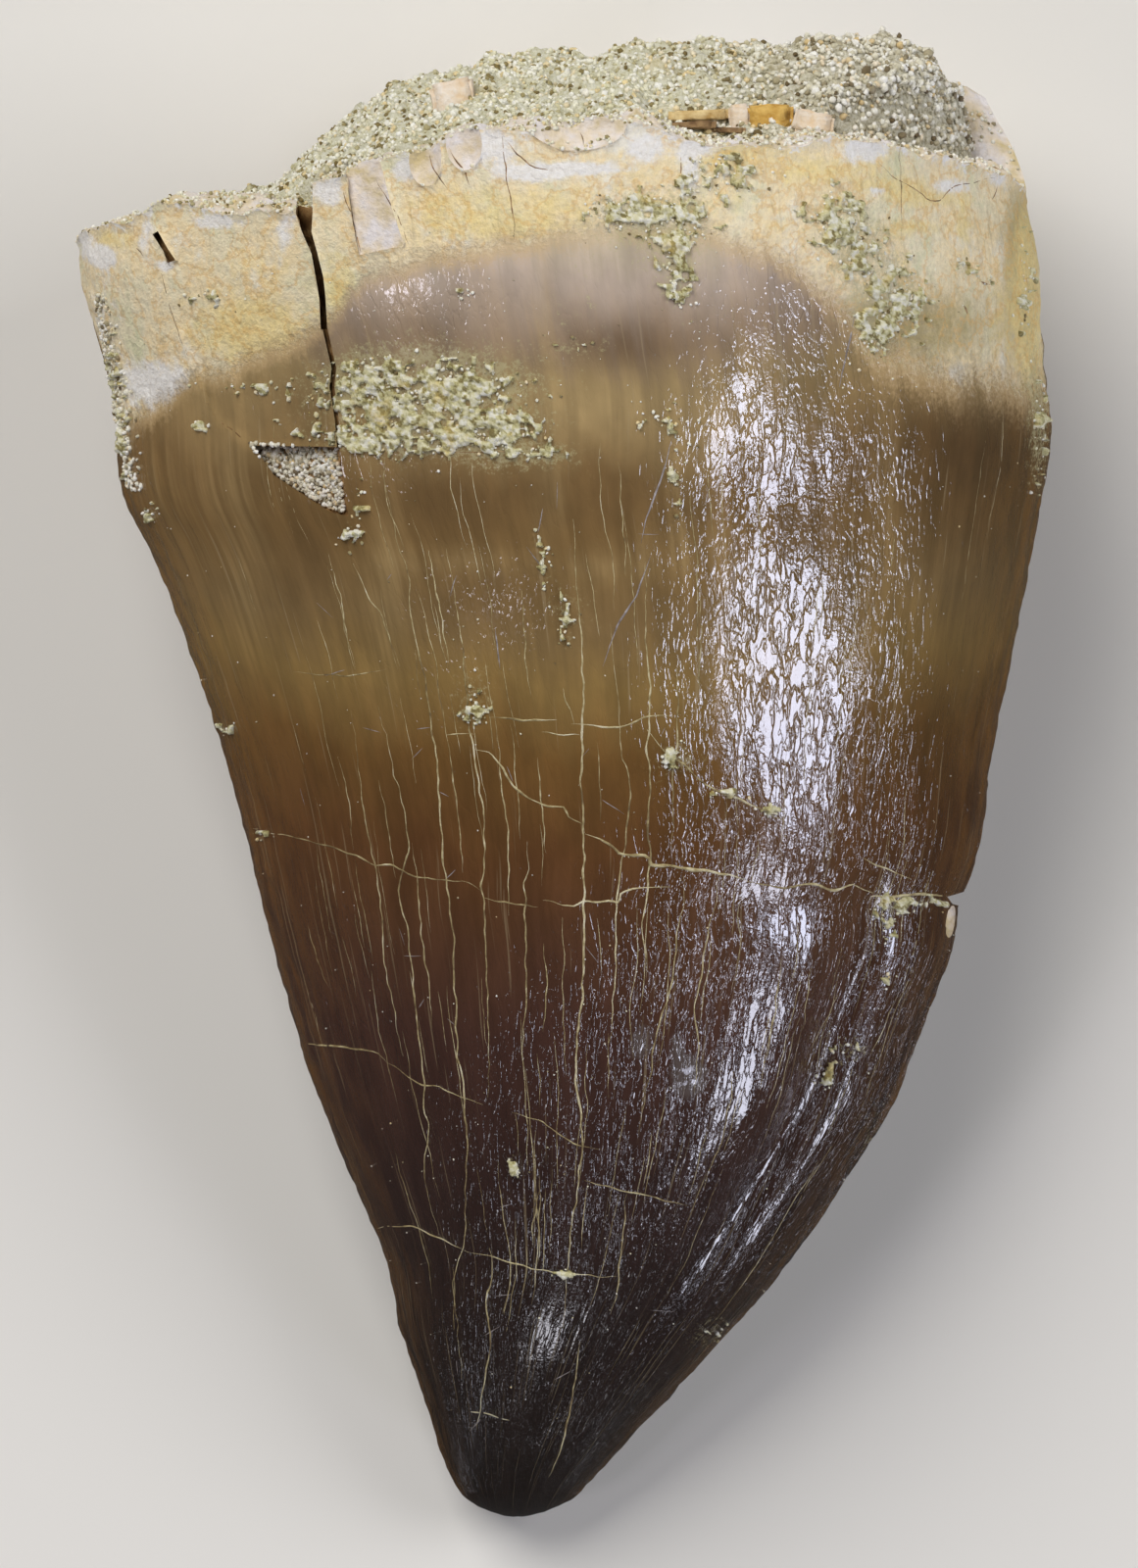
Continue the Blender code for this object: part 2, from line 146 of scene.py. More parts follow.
# Spots are (x, y, half width, half height, strength)
DARK_SPOTS_PX = [
    (315, 580, 42, 60, 0.6), (465, 520, 70, 36, 0.45), (625, 522, 52, 34, 0.5), (475, 620, 60, 35, 0.5),
    (645, 640, 48, 36, 0.45), (640, 350, 60, 32, 0.9), (425, 350, 60, 30, 0.3), (975, 450, 62, 48, 0.85),
    (975, 530, 55, 40, 0.4), (310, 410, 40, 26, 0.5), (815, 640, 75, 280, 0.6),
]
LIGHT_SPOTS_PX = [
    (620, 415, 100, 26, 0.9), (555, 330, 10, 60, 0.5), (700, 560, 40, 22, 0.5), (470, 572, 70, 12, 0.45),
    (620, 580, 60, 12, 0.4), (560, 500, 12, 60, 0.6), (235, 480, 22, 50, 0.6), (395, 600, 16, 90, 0.5),
    (700, 480, 22, 60, 0.5), (250, 600, 18, 60, 0.4), (905, 470, 12, 80, 0.4), (165, 470, 36, 50, 0.35),
]
ORANGE_SPOTS_PX = [
    (255, 348, 55, 22, 1.0), (265, 275, 60, 35, 0.45), (250, 320, 50, 18, 0.5), (560, 212, 70, 22, 0.7),
    (450, 215, 45, 26, 0.65), (520, 236, 60, 10, 0.6), (740, 160, 36, 14, 0.8), (735, 205, 50, 16, 0.5),
    (830, 175, 40, 14, 0.9), (785, 150, 50, 8, 0.6), (905, 192, 26, 8, 1.0), (960, 202, 36, 8, 1.0),
    (890, 165, 24, 16, 0.6), (930, 180, 16, 30, 0.4), (1050, 260, 11, 60, 1.0), (110, 245, 22, 12, 1.0),
    (860, 262, 20, 20, 0.5), (800, 232, 22, 16, 0.5), (920, 262, 14, 30, 0.5), (345, 300, 14, 36, 0.8),
    (640, 170, 40, 24, 0.5), (335, 215, 8, 26, 0.5), (1056, 360, 12, 60, 1.0), (1030, 320, 18, 50, 0.6),
    (930, 232, 36, 6, 0.9), (985, 236, 8, 26, 0.8),
]
WHITE_SPOTS_PX = [
    (158, 394, 36, 26, 1.0), (334, 196, 16, 16, 1.0), (412, 172, 14, 14, 1.0), (500, 150, 26, 22, 1.0),
    (222, 226, 26, 9, 1.0), (290, 236, 10, 22, 0.8), (104, 262, 12, 10, 1.0), (168, 272, 8, 7, 1.0),
    (84, 245, 8, 16, 0.8), (880, 152, 26, 15, 1.0), (705, 175, 10, 30, 0.9), (660, 150, 22, 14, 1.0),
    (545, 178, 30, 8, 1.0), (600, 172, 40, 7, 1.0), (975, 190, 20, 8, 0.9), (896, 196, 12, 6, 0.9),
    (1022, 182, 10, 8, 0.9), (720, 148, 20, 10, 0.8), (147, 240, 10, 20, 0.7), (105, 320, 22, 60, 0.45),
]
CRUST_SPOTS_PX = [
    (420, 422, 90, 32, 1.0), (370, 382, 36, 18, 0.8), (500, 442, 44, 14, 0.9), (470, 388, 46, 16, 0.75),
    (540, 462, 34, 6, 0.8), (400, 452, 60, 10, 0.9), (374, 496, 9, 18, 0.3), (362, 542, 13, 22, 0.6),
    (680, 222, 40, 20, 1.0), (635, 214, 30, 14, 0.8), (690, 262, 16, 24, 0.85), (692, 298, 12, 16, 0.9),
    (852, 225, 30, 28, 0.95), (878, 262, 20, 22, 0.75), (915, 308, 30, 34, 0.95), (892, 345, 16, 22, 0.7),
    (742, 178, 32, 20, 0.8), (700, 180, 10, 12, 0.3), (556, 575, 8, 30, 0.6), (576, 628, 10, 22, 0.85),
    (484, 722, 13, 20, 0.7), (932, 921, 36, 7, 1.0), (905, 940, 10, 22, 0.6), (115, 375, 9, 34, 0.8),
    (122, 440, 9, 40, 0.8), (692, 480, 9, 40, 0.55), (672, 428, 26, 12, 0.45), (1047, 300, 8, 60, 0.6),
    (1062, 440, 8, 44, 0.8), (214, 305, 24, 8, 0.6), (196, 392, 9, 10, 0.6), (262, 396, 30, 8, 0.5),
    (206, 434, 10, 6, 0.7), (688, 772, 12, 12, 0.85), (745, 812, 16, 7, 0.8), (785, 828, 16, 7, 0.85),
    (524, 1190, 7, 14, 0.8), (576, 1302, 10, 7, 0.75), (735, 1362, 22, 10, 0.5), (862, 1072, 16, 10, 0.55),
    (595, 352, 26, 6, 0.45), (985, 268, 14, 6, 0.7), (893, 1190, 10, 14, 0.5), (600, 1212, 8, 6, 0.5),
    (700, 330, 10, 8, 0.4), (470, 300, 20, 6, 0.4), (1000, 285, 14, 8, 0.5), (153, 524, 7, 9, 0.9),
    (231, 742, 9, 7, 0.8), (265, 850, 9, 7, 0.8), (842, 1100, 8, 10, 0.6), (905, 1000, 7, 10, 0.6),
    (887, 1180, 7, 10, 0.6),
]
# Olive shade in the dentine
SHADE_SPOTS_PX = [
    (945, 335, 80, 42, 0.9), (1046, 270, 16, 90, 1.0), (880, 340, 40, 30, 0.5), (1000, 230, 30, 40, 0.4),
    (110, 330, 20, 60, 0.3), (210, 300, 40, 16, 0.3),
]
# Thin dust beyond the crusts
DUST_SPOTS_PX = [
    (440, 380, 100, 40, 0.8), (590, 310, 40, 50, 0.4), (600, 620, 24, 60, 0.3), (670, 245, 60, 40, 0.5),
    (890, 285, 50, 70, 0.5), (530, 470, 60, 14, 0.6), (480, 700, 30, 40, 0.4), (700, 780, 50, 20, 0.4),
    (1058, 400, 12, 120, 0.6), (870, 1060, 40, 50, 0.3), (890, 1150, 20, 40, 0.4),
    (720, 1360, 30, 40, 0.3),
]
# Dried drops and bruises that turn the enamel grey
FILM_SPOTS_PX = [(655, 1064, 14, 20, 0.6), (690, 1066, 7, 15, 0.5), (703, 1099, 13, 15, 1.5)]
# Where the enamel is most wrinkled
WRINKLE_SPOTS_PX = [
    (815, 600, 90, 330, 1.0), (760, 1080, 110, 190, 1.0), (560, 1180, 130, 170, 0.8),
    (560, 1420, 110, 100, 0.9), (860, 1150, 80, 160, 1.0), (420, 310, 70, 22, 0.8),
    (360, 980, 40, 90, 0.7), (700, 1350, 120, 90, 1.0),
]

# Sediment-filled pocket under the cracked block, as its outline in pixels
POCKET_PX = [(254, 452), (345, 458), (353, 524), (337, 518), (306, 500), (278, 483)]
# Pieces of broken dentine in the hollow behind the rim: (x, y, width, height, turn, kind)
FRAGMENTS_PX = [
    (754, 122, 20, 30, 4, "white"), (830, 126, 40, 24, -14, "white"), (714, 118, 62, 10, 4, "amber"),
    (785, 121, 48, 26, 2, "window"), (700, 129, 60, 7, 4, "brown"), (463, 104, 44, 42, 12, "white"),
    (740, 134, 40, 6, 0, "brown"),
]

# Enamel colours from the base to the tip, as (row, colour), and the rows that their ramp covers
BAND_TOP_PX, BAND_SPAN_PX = 200, 1400
ENAMEL_BANDS_PX = [
    (230, (200, 186, 160)), (285, (188, 171, 156)), (350, (156, 135, 112)), (400, (158, 136, 96)),
    (445, (150, 126, 86)), (500, (120, 95, 60)), (560, (124, 98, 60)), (640, (134, 110, 72)),
    (700, (138, 112, 66)), (780, (110, 80, 42)), (870, (96, 64, 36)), (970, (83, 55, 38)),
    (1060, (70, 46, 38)), (1200, (54, 37, 33)), (1350, (42, 31, 28)), (1500, (35, 27, 23)),
]
# Looks made from one noise: its size, detail and coarseness, a ramp, the roughness, the bump in mm
SPECKLED_LOOKS = {
    "stained_break": (1.6, 4, 0.65, [(0.3, (92, 68, 44)), (0.5, (136, 104, 66)), (0.66, (180, 146, 98))],
                      0.6, 0.15),
    "white_fragment": (2.2, 4, 0.65, [(0.35, (220, 196, 164)), (0.62, (228, 218, 206))], 0.6, 0.12),
    "amber_fragment": (2.2, 4, 0.65, [(0.35, (184, 150, 92)), (0.62, (222, 200, 150))], 0.6, 0.12),
    "window_fragment": (2.2, 4, 0.65, [(0.35, (182, 138, 62)), (0.62, (216, 180, 104))], 0.3, 0.12),
    "brown_fragment": (2.2, 4, 0.65, [(0.35, (104, 78, 54)), (0.62, (160, 132, 96))], 0.6, 0.12),
    # Painted shadow in the open cracks, dark brown to pale
    "dark_crack": (3, 4, 0.55, [(0.3, (74, 52, 34)), (0.5, (128, 96, 64)), (0.65, (188, 156, 118))],
                   0.9, 0.0),
    "scratch": (4, 3, 0.55, [(0.3, (104, 92, 84)), (0.7, (172, 166, 168))], 0.5, 0.0),
}

# Sediment-filled hairline cracks along the crown, in pixels, with a line width in pixels first
CRACKS_PX = [
    (5.0, [(585, 530), (588, 594), (593, 648), (595, 701), (593, 798), (595, 841), (595, 860), (596, 933),
     (595, 1010), (589, 1054), (587, 1102), (593, 1139), (594, 1170), (590, 1207), (584, 1246),
     (581, 1276), (577, 1319), (574, 1356)]),
    (3.5, [(591, 1370), (587, 1407), (582, 1432), (575, 1471), (568, 1489), (559, 1508)]),
    (4.0, [(389, 480), (408, 560), (417, 591), (421, 638), (427, 666), (434, 692), (439, 739), (446, 777),
     (449, 820), (452, 874), (457, 904), (462, 957), (464, 1005), (467, 1078), (474, 1110), (472, 1127),
     (478, 1163), (474, 1234), (473, 1271), (461, 1308), (465, 1342), (472, 1407)]),
    (2.5, [(335, 565), (349, 617), (356, 664), (362, 682)]),
    (2.5, [(361, 574), (377, 612), (391, 631), (403, 669), (407, 680)]),
    (3.0, [(437, 560), (446, 607), (454, 654), (459, 683)]),
    (3.5, [(455, 560), (464, 607), (472, 661), (479, 744), (486, 784), (493, 827), (495, 867), (491, 906),
     (495, 940), (497, 1005), (499, 1090), (497, 1122)]),
    (2.5, [(533, 602), (535, 659), (540, 711)]),
    (4.0, [(658, 574), (659, 654), (663, 702), (660, 768), (664, 786), (661, 843), (663, 886), (659, 922),
     (655, 944), (658, 979), (657, 1012), (653, 1033)]),
    (3.5, [(630, 709), (634, 772), (643, 796), (643, 815), (637, 862), (628, 921), (629, 976), (624, 1049),
     (618, 1093)]),
    (3.0, [(691, 678), (691, 749), (686, 796), (687, 820), (684, 867)]),
    (3.0, [(358, 725), (365, 772), (369, 810), (374, 843), (384, 890), (389, 933), (392, 981), (399, 1018),
     (411, 1078)]),
    (3.5, [(385, 720), (394, 749), (401, 787), (413, 824), (416, 867), (406, 908), (416, 952), (421, 996),
     (425, 1035), (430, 1078), (434, 1134), (438, 1165), (433, 1182), (436, 1219), (447, 1260)]),
    (2.0, [(344, 772), (354, 798), (361, 867)]),
    (2.5, [(457, 756), (460, 777), (469, 843), (472, 890)]),
    (3.0, [(507, 749), (512, 796), (518, 843), (519, 935)]),
    (2.5, [(549, 772), (552, 815), (557, 871)]),
    (2.0, [(387, 796), (398, 857), (404, 897)]),
    (3.0, [(538, 860), (539, 884), (535, 904), (536, 945), (537, 1018), (532, 1078)]),
    (2.5, [(554, 962), (558, 1005), (554, 1054)]),
    (3.0, [(421, 860), (427, 908), (430, 957), (438, 1005), (441, 1049)]),
    (2.0, [(314, 945), (324, 981), (336, 1010)]),
    (3.0, [(698, 894), (697, 927), (690, 951), (688, 986), (684, 1012), (674, 1040), (667, 1064),
     (665, 1092), (658, 1116), (653, 1147)]),
    (3.0, [(733, 894), (729, 927), (721, 956), (716, 986), (711, 1012), (709, 1040), (712, 1055),
     (709, 1116)]),
    (2.5, [(799, 974), (796, 993), (790, 1031), (783, 1069), (777, 1097)]),
    (2.5, [(749, 1092), (745, 1123), (736, 1166), (721, 1201), (718, 1215)]),
    (2.5, [(856, 1015), (842, 1040), (828, 1071)]),
    (2.0, [(828, 986), (818, 1055)]),
    (2.0, [(917, 1012), (903, 1045), (889, 1076)]),
    (3.0, [(499, 1273), (503, 1301), (497, 1319), (496, 1340), (500, 1361), (499, 1388), (492, 1420),
     (487, 1459)]),
    (2.0, [(551, 1214), (544, 1246), (543, 1273)]),
    (2.5, [(639, 1218), (636, 1257), (632, 1292), (629, 1322), (623, 1342)]),
    (2.0, [(631, 471), (636, 541), (639, 589)]),
    (2.0, [(714, 600), (715, 637), (713, 728)]),
    (2.5, [(575, 702), (577, 718), (582, 723), (585, 739)]),
    (9.0, [(597, 850), (613, 855), (632, 871), (660, 874), (663, 882), (700, 886), (732, 890),
     (759, 897)]),
    (6.5, [(759, 897), (778, 903), (801, 907), (814, 903), (835, 902), (847, 909), (870, 903),
     (890, 911)]),
    (9.0, [(888, 916), (912, 914), (940, 913), (966, 914)]),
    (5.0, [(484, 765), (498, 766), (505, 775), (512, 783), (523, 803), (542, 817), (560, 822), (575, 824),
     (580, 833), (595, 841), (597, 850)]),
    (4.5, [(500, 732), (530, 735), (568, 735)]),
    (4.0, [(583, 739), (632, 742), (660, 732), (691, 729)]),
    (2.5, [(455, 750), (481, 749)]),
    (2.5, [(552, 748), (592, 750)]),
    (2.5, [(300, 686), (354, 690), (395, 683)]),
    (3.5, [(258, 846), (290, 852), (330, 862), (362, 872), (384, 883), (401, 882), (416, 892), (430, 896),
     (457, 898), (474, 899), (491, 908)]),
    (4.0, [(493, 916), (520, 922), (549, 925)]),
    (4.5, [(554, 919), (585, 925), (595, 919), (631, 921), (633, 911), (648, 906), (684, 905)]),
    (4.5, [(309, 1066), (348, 1067), (384, 1075), (394, 1083)]),
    (3.0, [(394, 1083), (416, 1098), (433, 1107), (447, 1108), (472, 1121), (493, 1127)]),
    (2.5, [(522, 1136), (554, 1145), (571, 1159), (593, 1170), (617, 1173)]),
    (4.0, [(385, 1253), (420, 1250), (438, 1260), (473, 1276)]),
    (3.0, [(473, 1276), (508, 1285), (533, 1292), (578, 1301), (631, 1303)]),
    (3.0, [(596, 1204), (631, 1215), (666, 1222), (705, 1231)]),
    (2.5, [(476, 1439), (519, 1448)]),
    (3.0, [(880, 875), (895, 883), (913, 891), (930, 898)]),
    (3.0, [(949, 893), (944, 910)]),
    (5.0, [(660, 745), (680, 768), (700, 782), (720, 802), (745, 812), (775, 826), (800, 838)]),
]
SCRATCHES_PX = [
    (2.5, [(505, 640), (510, 683)]),
    (2.5, [(664, 567), (648, 610), (630, 637), (615, 680)]),
    (2.5, [(686, 447), (675, 487), (659, 530), (654, 554)]),
    (3.0, [(872, 320), (866, 350), (856, 395)]),
]
# Open cracks in the broken base, drawn dark as painted shadow, given as the sediment-filled ones above
CRACK_SHADOWS_PX = [
    (2.5, [(511, 139), (514, 160), (518, 186), (524, 224), (525, 245)]),
    (2.5, [(515, 143), (524, 155), (537, 165), (550, 172), (563, 175)]),
    (2.5, [(694, 155), (695, 175), (695, 197)]),
    (2.0, [(918, 150), (919, 190), (920, 244)]),
    (3.5, [(350, 195), (356, 214), (361, 229), (365, 246), (368, 259)]),
    (2.0, [(384, 183), (394, 200), (402, 212), (410, 232), (417, 250)]),
    (3.0, [(438, 158), (442, 172), (448, 184), (457, 192)]),
    (2.5, [(458, 150), (466, 166), (474, 176), (482, 193)]),
    (2.5, [(592, 134), (594, 140), (595, 147)]),
    (2.5, [(134, 249), (140, 255), (147, 263)]),
    (2.0, [(158, 272), (164, 279), (171, 306), (183, 343), (190, 358), (193, 372)]),
    (3.0, [(1008, 169), (1018, 172), (1030, 177)]),
    (3.0, [(1018, 190), (1016, 198), (1013, 204)]),
    (2.2, [(895, 164), (912, 180), (931, 191), (945, 203), (958, 206), (966, 198), (973, 191), (990, 186),
     (1015, 182)]),
    (5.0, [(984, 311), (986, 316), (987, 321)]),
    (4.0, [(999, 285), (1004, 288), (1010, 290)]),
    (2.5, [(346, 457), (360, 459), (372, 459), (385, 464)]),
    (2.0, [(440, 462), (470, 462), (500, 461), (530, 461)]),
    (2.0, [(221, 426), (233, 436), (245, 445), (256, 453)]),
    (2.5, [(256, 454), (275, 456), (300, 458), (325, 459), (345, 459)]),
    (2.0, [(333, 337), (337, 356), (341, 376), (338, 390)]),
    (2.5, [(343, 428), (345, 445), (347, 460), (349, 490), (352, 520)]),
]


def curve(points, at):
    """Smooth curve through (position, value) points, read at the given positions."""
    place, value = np.array(points, float).T
    slope = np.gradient(value, place)
    low = np.clip(np.searchsorted(place, at) - 1, 0, len(place) - 2)
    span = place[low + 1] - place[low]
    t = np.clip((at - place[low]) / span, 0, 1)
    return ((2 * t**3 - 3 * t**2 + 1) * value[low] + (t**3 - 2 * t**2 + t) * span * slope[low]
            + (3 * t**2 - 2 * t**3) * value[low + 1] + (t**3 - t**2) * span * slope[low + 1])


def broken_line(points, at):
    """Straight runs through (position, value) points, for the jagged broken edges."""
    place, value = np.array(points, float).T
    return np.interp(at, place, value)


def step(value, width):
    """0 well below zero, 1 well above it, smooth over the given width."""
    t = np.clip(value / width + 0.5, 0, 1)
    return t * t * (3 - 2 * t)


def uneven(x, y, z, cell):
    """Smooth noise from -1 to 1 with cells of the given size."""
    points = np.stack(np.broadcast_arrays(x, y, z), axis=-1).reshape(-1, 3) / cell
    values = [noise.noise(Vector(point)) for point in points]
    return np.array(values).reshape(np.broadcast(x, y, z).shape)


def photo_place(x, y, z):
    """Pixel of the photograph that shows a point."""
    scale = PX_PER_MM * (CAMERA_HEIGHT - PLANE) / (CAMERA_HEIGHT - z)
    return PHOTO_MIDDLE_PX[0] + (x - AIM[0]) * scale, PHOTO_MIDDLE_PX[1] - (y - AIM[1]) * scale


def spots(px, py, places):
    """Sum of soft spots at a place of the photograph."""
    total = np.zeros(np.shape(px))
    for x, y, half_x, half_y, strength in places:
        total += strength * np.exp(-(((px - x) / half_x) ** 2 + ((py - y) / half_y) ** 2) * 0.7)
    return total


def relief(x, y):
    """Height of ledges, groove and flange on the outer face, over the plain crown."""
    inside = step(y - broken_line(BLOCK_LOWER, x), 0.3) * step(curve(BLOCK_RIGHT, y) - x, 0.2)
    height = -BLOCK_DROP * inside * step(x - BLOCK_LEFT, 2.0)
    inset = curve(RIGHT_EDGE, y) - x
    height -= curve(GROOVE_DEPTH, y) * np.exp(-((inset - GROOVE_INSET) / GROOVE_WIDTH) ** 2)
    return height + curve(FLANGE_HEIGHT, y) * np.exp(-((inset - FLANGE_INSET) / FLANGE_WIDTH) ** 2)


def crown_point(y, angle):
    """Point of the crown's outer surface; the angle runs from the right edge over the front."""
    left, right = curve(LEFT_EDGE, y), curve(RIGHT_EDGE, y)
    middle, half = (left + right) / 2, (right - left) / 2
    edge = curve(EDGE_HEIGHT, y)
    front = np.sin(angle) >= 0
    reach = np.where(front, curve(FRONT_HEIGHT, y), curve(BACK_HEIGHT, y)) - edge
    from_tip = np.clip((y - TIP_Y) / TIP_ROUND, 0, 1)
    taper = np.sqrt(1 - (1 - from_tip) ** 2)
    rise = np.abs(np.sin(angle)) ** FLANK_POWER
    x = middle + half * taper * np.cos(angle)
    swell = 1 + UNEVEN_HEIGHT * rise * uneven(x, y, edge + reach * rise, UNEVEN_CELL)
    x = middle + (x - middle) * swell
    z = edge + reach * rise * taper * swell
    z = np.where(front, z + relief(x, y) * step(rise - 0.1, 0.2), z)
    return x, y + 0 * x, np.maximum(z, 0)


def front_height(x, y):
    """Height of the outer face over a point of the floor."""
    left, right = curve(LEFT_EDGE, y), curve(RIGHT_EDGE, y)
    across = np.clip((2 * x - left - right) / (right - left), -1, 1)
    return crown_point(y, np.arccos(across))[2]


def rim_height(x, angle):
    """How far along Y the broken base reaches, over a place across it."""
    return np.where(np.sin(angle) >= 0, broken_line(FRONT_RIM, x), broken_line(BACK_RIM, x))


def cavity_point(y, angle, gap=0.0, shrink=1.0):
    """Point of the cavity's wall, pulled in by a gap and shrunk towards the middle."""
    left = curve(LEFT_EDGE, y) + WALL_LEFT + gap
    right = curve(RIGHT_EDGE, y) - WALL_RIGHT - gap
    edge = curve(EDGE_HEIGHT, y)
    above = curve(FRONT_HEIGHT, y) - WALL_FRONT - gap - edge
    below = np.maximum(curve(BACK_HEIGHT, y), 0) + WALL_BACK + gap - edge
    start = CAVITY_TIP_Y + 2 * gap
    taper = np.clip((y - start) / (CAVITY_MOUTH_Y - start), 0, 1) ** CAVITY_POWER * shrink
    reach = np.where(np.sin(angle) >= 0, above, below)
    x = (left + right) / 2 + (right - left) / 2 * taper * np.cos(angle)
    return x, y + 0 * x, edge + reach * taper * np.abs(np.sin(angle)) ** FLANK_POWER


def ring_points(x, y, z):
    """Points of one ring from its coordinate arrays."""
    return np.stack(np.broadcast_arrays(x, y, z), axis=-1)


def mesh_object(name, vertices, faces):
    """Object in the scene from points in millimetres and faces."""
    mesh = bpy.data.meshes.new(name)
    mesh.from_pydata((np.asarray(vertices) * MM).tolist(), [], faces)
    mesh.update()
    piece = bpy.data.objects.new(name, mesh)
    bpy.context.scene.collection.objects.link(piece)
    return piece


def loft(name, rings, start, end):
    """One closed surface through rings of points, with a single point at each end."""
    count, rows = len(rings[0]), len(rings)
    vertices = np.concatenate([*rings, [start], [end]])
    low = np.arange(count * (rows - 1)).reshape(rows - 1, count)
    beside = np.roll(low, -1, axis=1)
    quads = np.stack([low, beside, beside + count, low + count], axis=-1).reshape(-1, 4)
    first, last = count * rows, count * rows + 1
    around = np.arange(count)
    onward = np.roll(around, -1)
    faces = quads.tolist()
    faces += [[first, b, a] for a, b in zip(around.tolist(), onward.tolist())]
    top = count * (rows - 1)
    faces += [[last, top + a, top + b] for a, b in zip(around.tolist(), onward.tolist())]
    return outward(mesh_object(name, vertices, faces))


def outward(piece):
    """Turn a closed piece's faces outward and shade it smooth."""
    with edited(piece) as shape:
        if shape.calc_volume(signed=True) < 0:
            bmesh.ops.reverse_faces(shape, faces=shape.faces)
    piece.data.shade_smooth()
    return piece


@contextmanager
def edited(piece):
    """A piece's mesh, opened for mesh operations and stored again."""
    shape = bmesh.new()
    shape.from_mesh(piece.data)
    yield shape
    shape.to_mesh(piece.data)
    shape.free()


def taken(shape):
    """Points and faces of a shape, which is then freed."""
    points = np.array([vertex.co for vertex in shape.verts])
    faces = [[vertex.index for vertex in face.verts] for face in shape.faces]
    shape.free()
    return points, faces


def ball(subdivisions):
    """Points and faces of a ball of radius 1."""
    shape = bmesh.new()
    bmesh.ops.create_icosphere(shape, subdivisions=subdivisions, radius=1.0)
    return taken(shape)


def vectors(items, field):
    """A vector of each item of a mesh, such as its vertices' places or its faces' normals."""
    flat = np.empty(len(items) * 3)
    items.foreach_get(field, flat)
    return flat.reshape(-1, 3)


def points_of(mesh):
    """Vertex places of a mesh in millimetres."""
    return vectors(mesh.vertices, "co") / MM


def faces_of(mesh):
    """Middles, in millimetres, and normals of a mesh's faces."""
    return vectors(mesh.polygons, "center") / MM, vectors(mesh.polygons, "normal")


def set_points(mesh, points):
    """Move a mesh's vertices to places in millimetres."""
    mesh.vertices.foreach_set("co", (points * MM).ravel())
    mesh.update()


def paint(mesh, name, values):
    """Store a number, or a vector, at each vertex for the materials."""
    values = np.asarray(values, float)
    kind, field = ("FLOAT", "value") if values.ndim == 1 else ("FLOAT_VECTOR", "vector")
    mesh.attributes.new(name, kind, "POINT").data.foreach_set(field, values.ravel())


# Crown


def crown_rings():
    """Rings of the crown: tip, outer surface, broken rim, then the cavity down to its end."""
    angle = np.concatenate([np.linspace(0, math.pi, FRONT_COLUMNS, endpoint=False),
                            np.linspace(math.pi, 2 * math.pi, BACK_COLUMNS, endpoint=False)])
    base = crown_point(np.full_like(angle, CAVITY_MOUTH_Y), angle)
    rim = rim_height(base[0], angle)
    rim = rim + 0.28 * uneven(base[0], base[2], 0, 1.3) + 0.16 * uneven(base[0], base[2], 5, 0.5)
    body_start = TIP_Y + TIP_ROUND
    turn = np.linspace(0, math.pi / 2, TIP_RINGS + 1)[1:]
    heights = [np.full_like(angle, TIP_Y + TIP_ROUND * (1 - math.cos(a))) for a in turn]
    heights += [body_start + (rim - body_start) * t for t in np.linspace(0, 1, BODY_RINGS + 1)[1:]]
    rings = [ring_points(*crown_point(y, angle)) for y in heights]

    front = np.sin(angle) >= 0
    outer, mouth = rings[-1], ring_points(*cavity_point(rim + np.where(front, 0.3, -0.1), angle))
    for t in np.linspace(0, 1, LEDGE_RINGS + 2)[1:-1]:
        ledge = outer + (mouth - outer) * t
        bulge = math.sin(math.pi * t)
        ledge[:, 1] += bulge * (0.15 + 0.45 * uneven(*ledge.T, 1.5) + 0.25 * uneven(*ledge.T, 0.5))
        rings.append(ledge)
    rings.append(mouth)
    for t in np.linspace(0, 1, CAVITY_RINGS + 1)[1:-1]:
        y = mouth[:, 1] + (CAVITY_TIP_Y - mouth[:, 1]) * t
        rings.append(ring_points(*cavity_point(y, angle)))
    return rings


def prism_cutter(name, finish, outline, depth):
    """Cutter over an outline seen from above, down to a depth, or one a corner, under the face."""
    count = len(outline)
    low = [(x, y, float(front_height(np.array(x), np.array(y))) - down)
           for (x, y), down in zip(outline, np.broadcast_to(depth, count))]
    high = [(x, y, CUTTER_TOP) for x, y in outline]
    sides = [[i, (i + 1) % count, count + (i + 1) % count, count + i] for i in range(count)]
    ends = [list(range(count))[::-1], list(range(count, 2 * count))]
    return finished_cutter(name, finish, low + high, ends + sides)


def scoop_cutter(name, finish, place, radii, depth):
    """Rippled ellipsoid that scoops a shallow chip, of a depth, out of the outer face."""
    x, y = place
    height = float(front_height(np.array(x), np.array(y))) + radii[2] - depth
    points, faces = ball(4)
    points = points * radii + (x, y, height)
    points[:, 2] += 0.05 * uneven(*points.T, 0.6)
    return finished_cutter(name, finish, points, faces)


def finished_cutter(name, finish, points, faces):
    """Closed piece that leaves a finish on what it cuts."""
    piece = mesh_object(name, points, faces)
    give_finishes(piece, CROWN_FINISHES.index(finish))
    return outward(piece)


def give_finishes(piece, index):
    """Give a piece the crown's material slots, and its faces one of them each."""
    for name in CROWN_FINISHES:
        piece.data.materials.append(bpy.data.materials[name])
    indices = np.broadcast_to(np.asarray(index, np.int32), len(piece.data.polygons))
    piece.data.polygons.foreach_set("material_index", np.ascontiguousarray(indices))


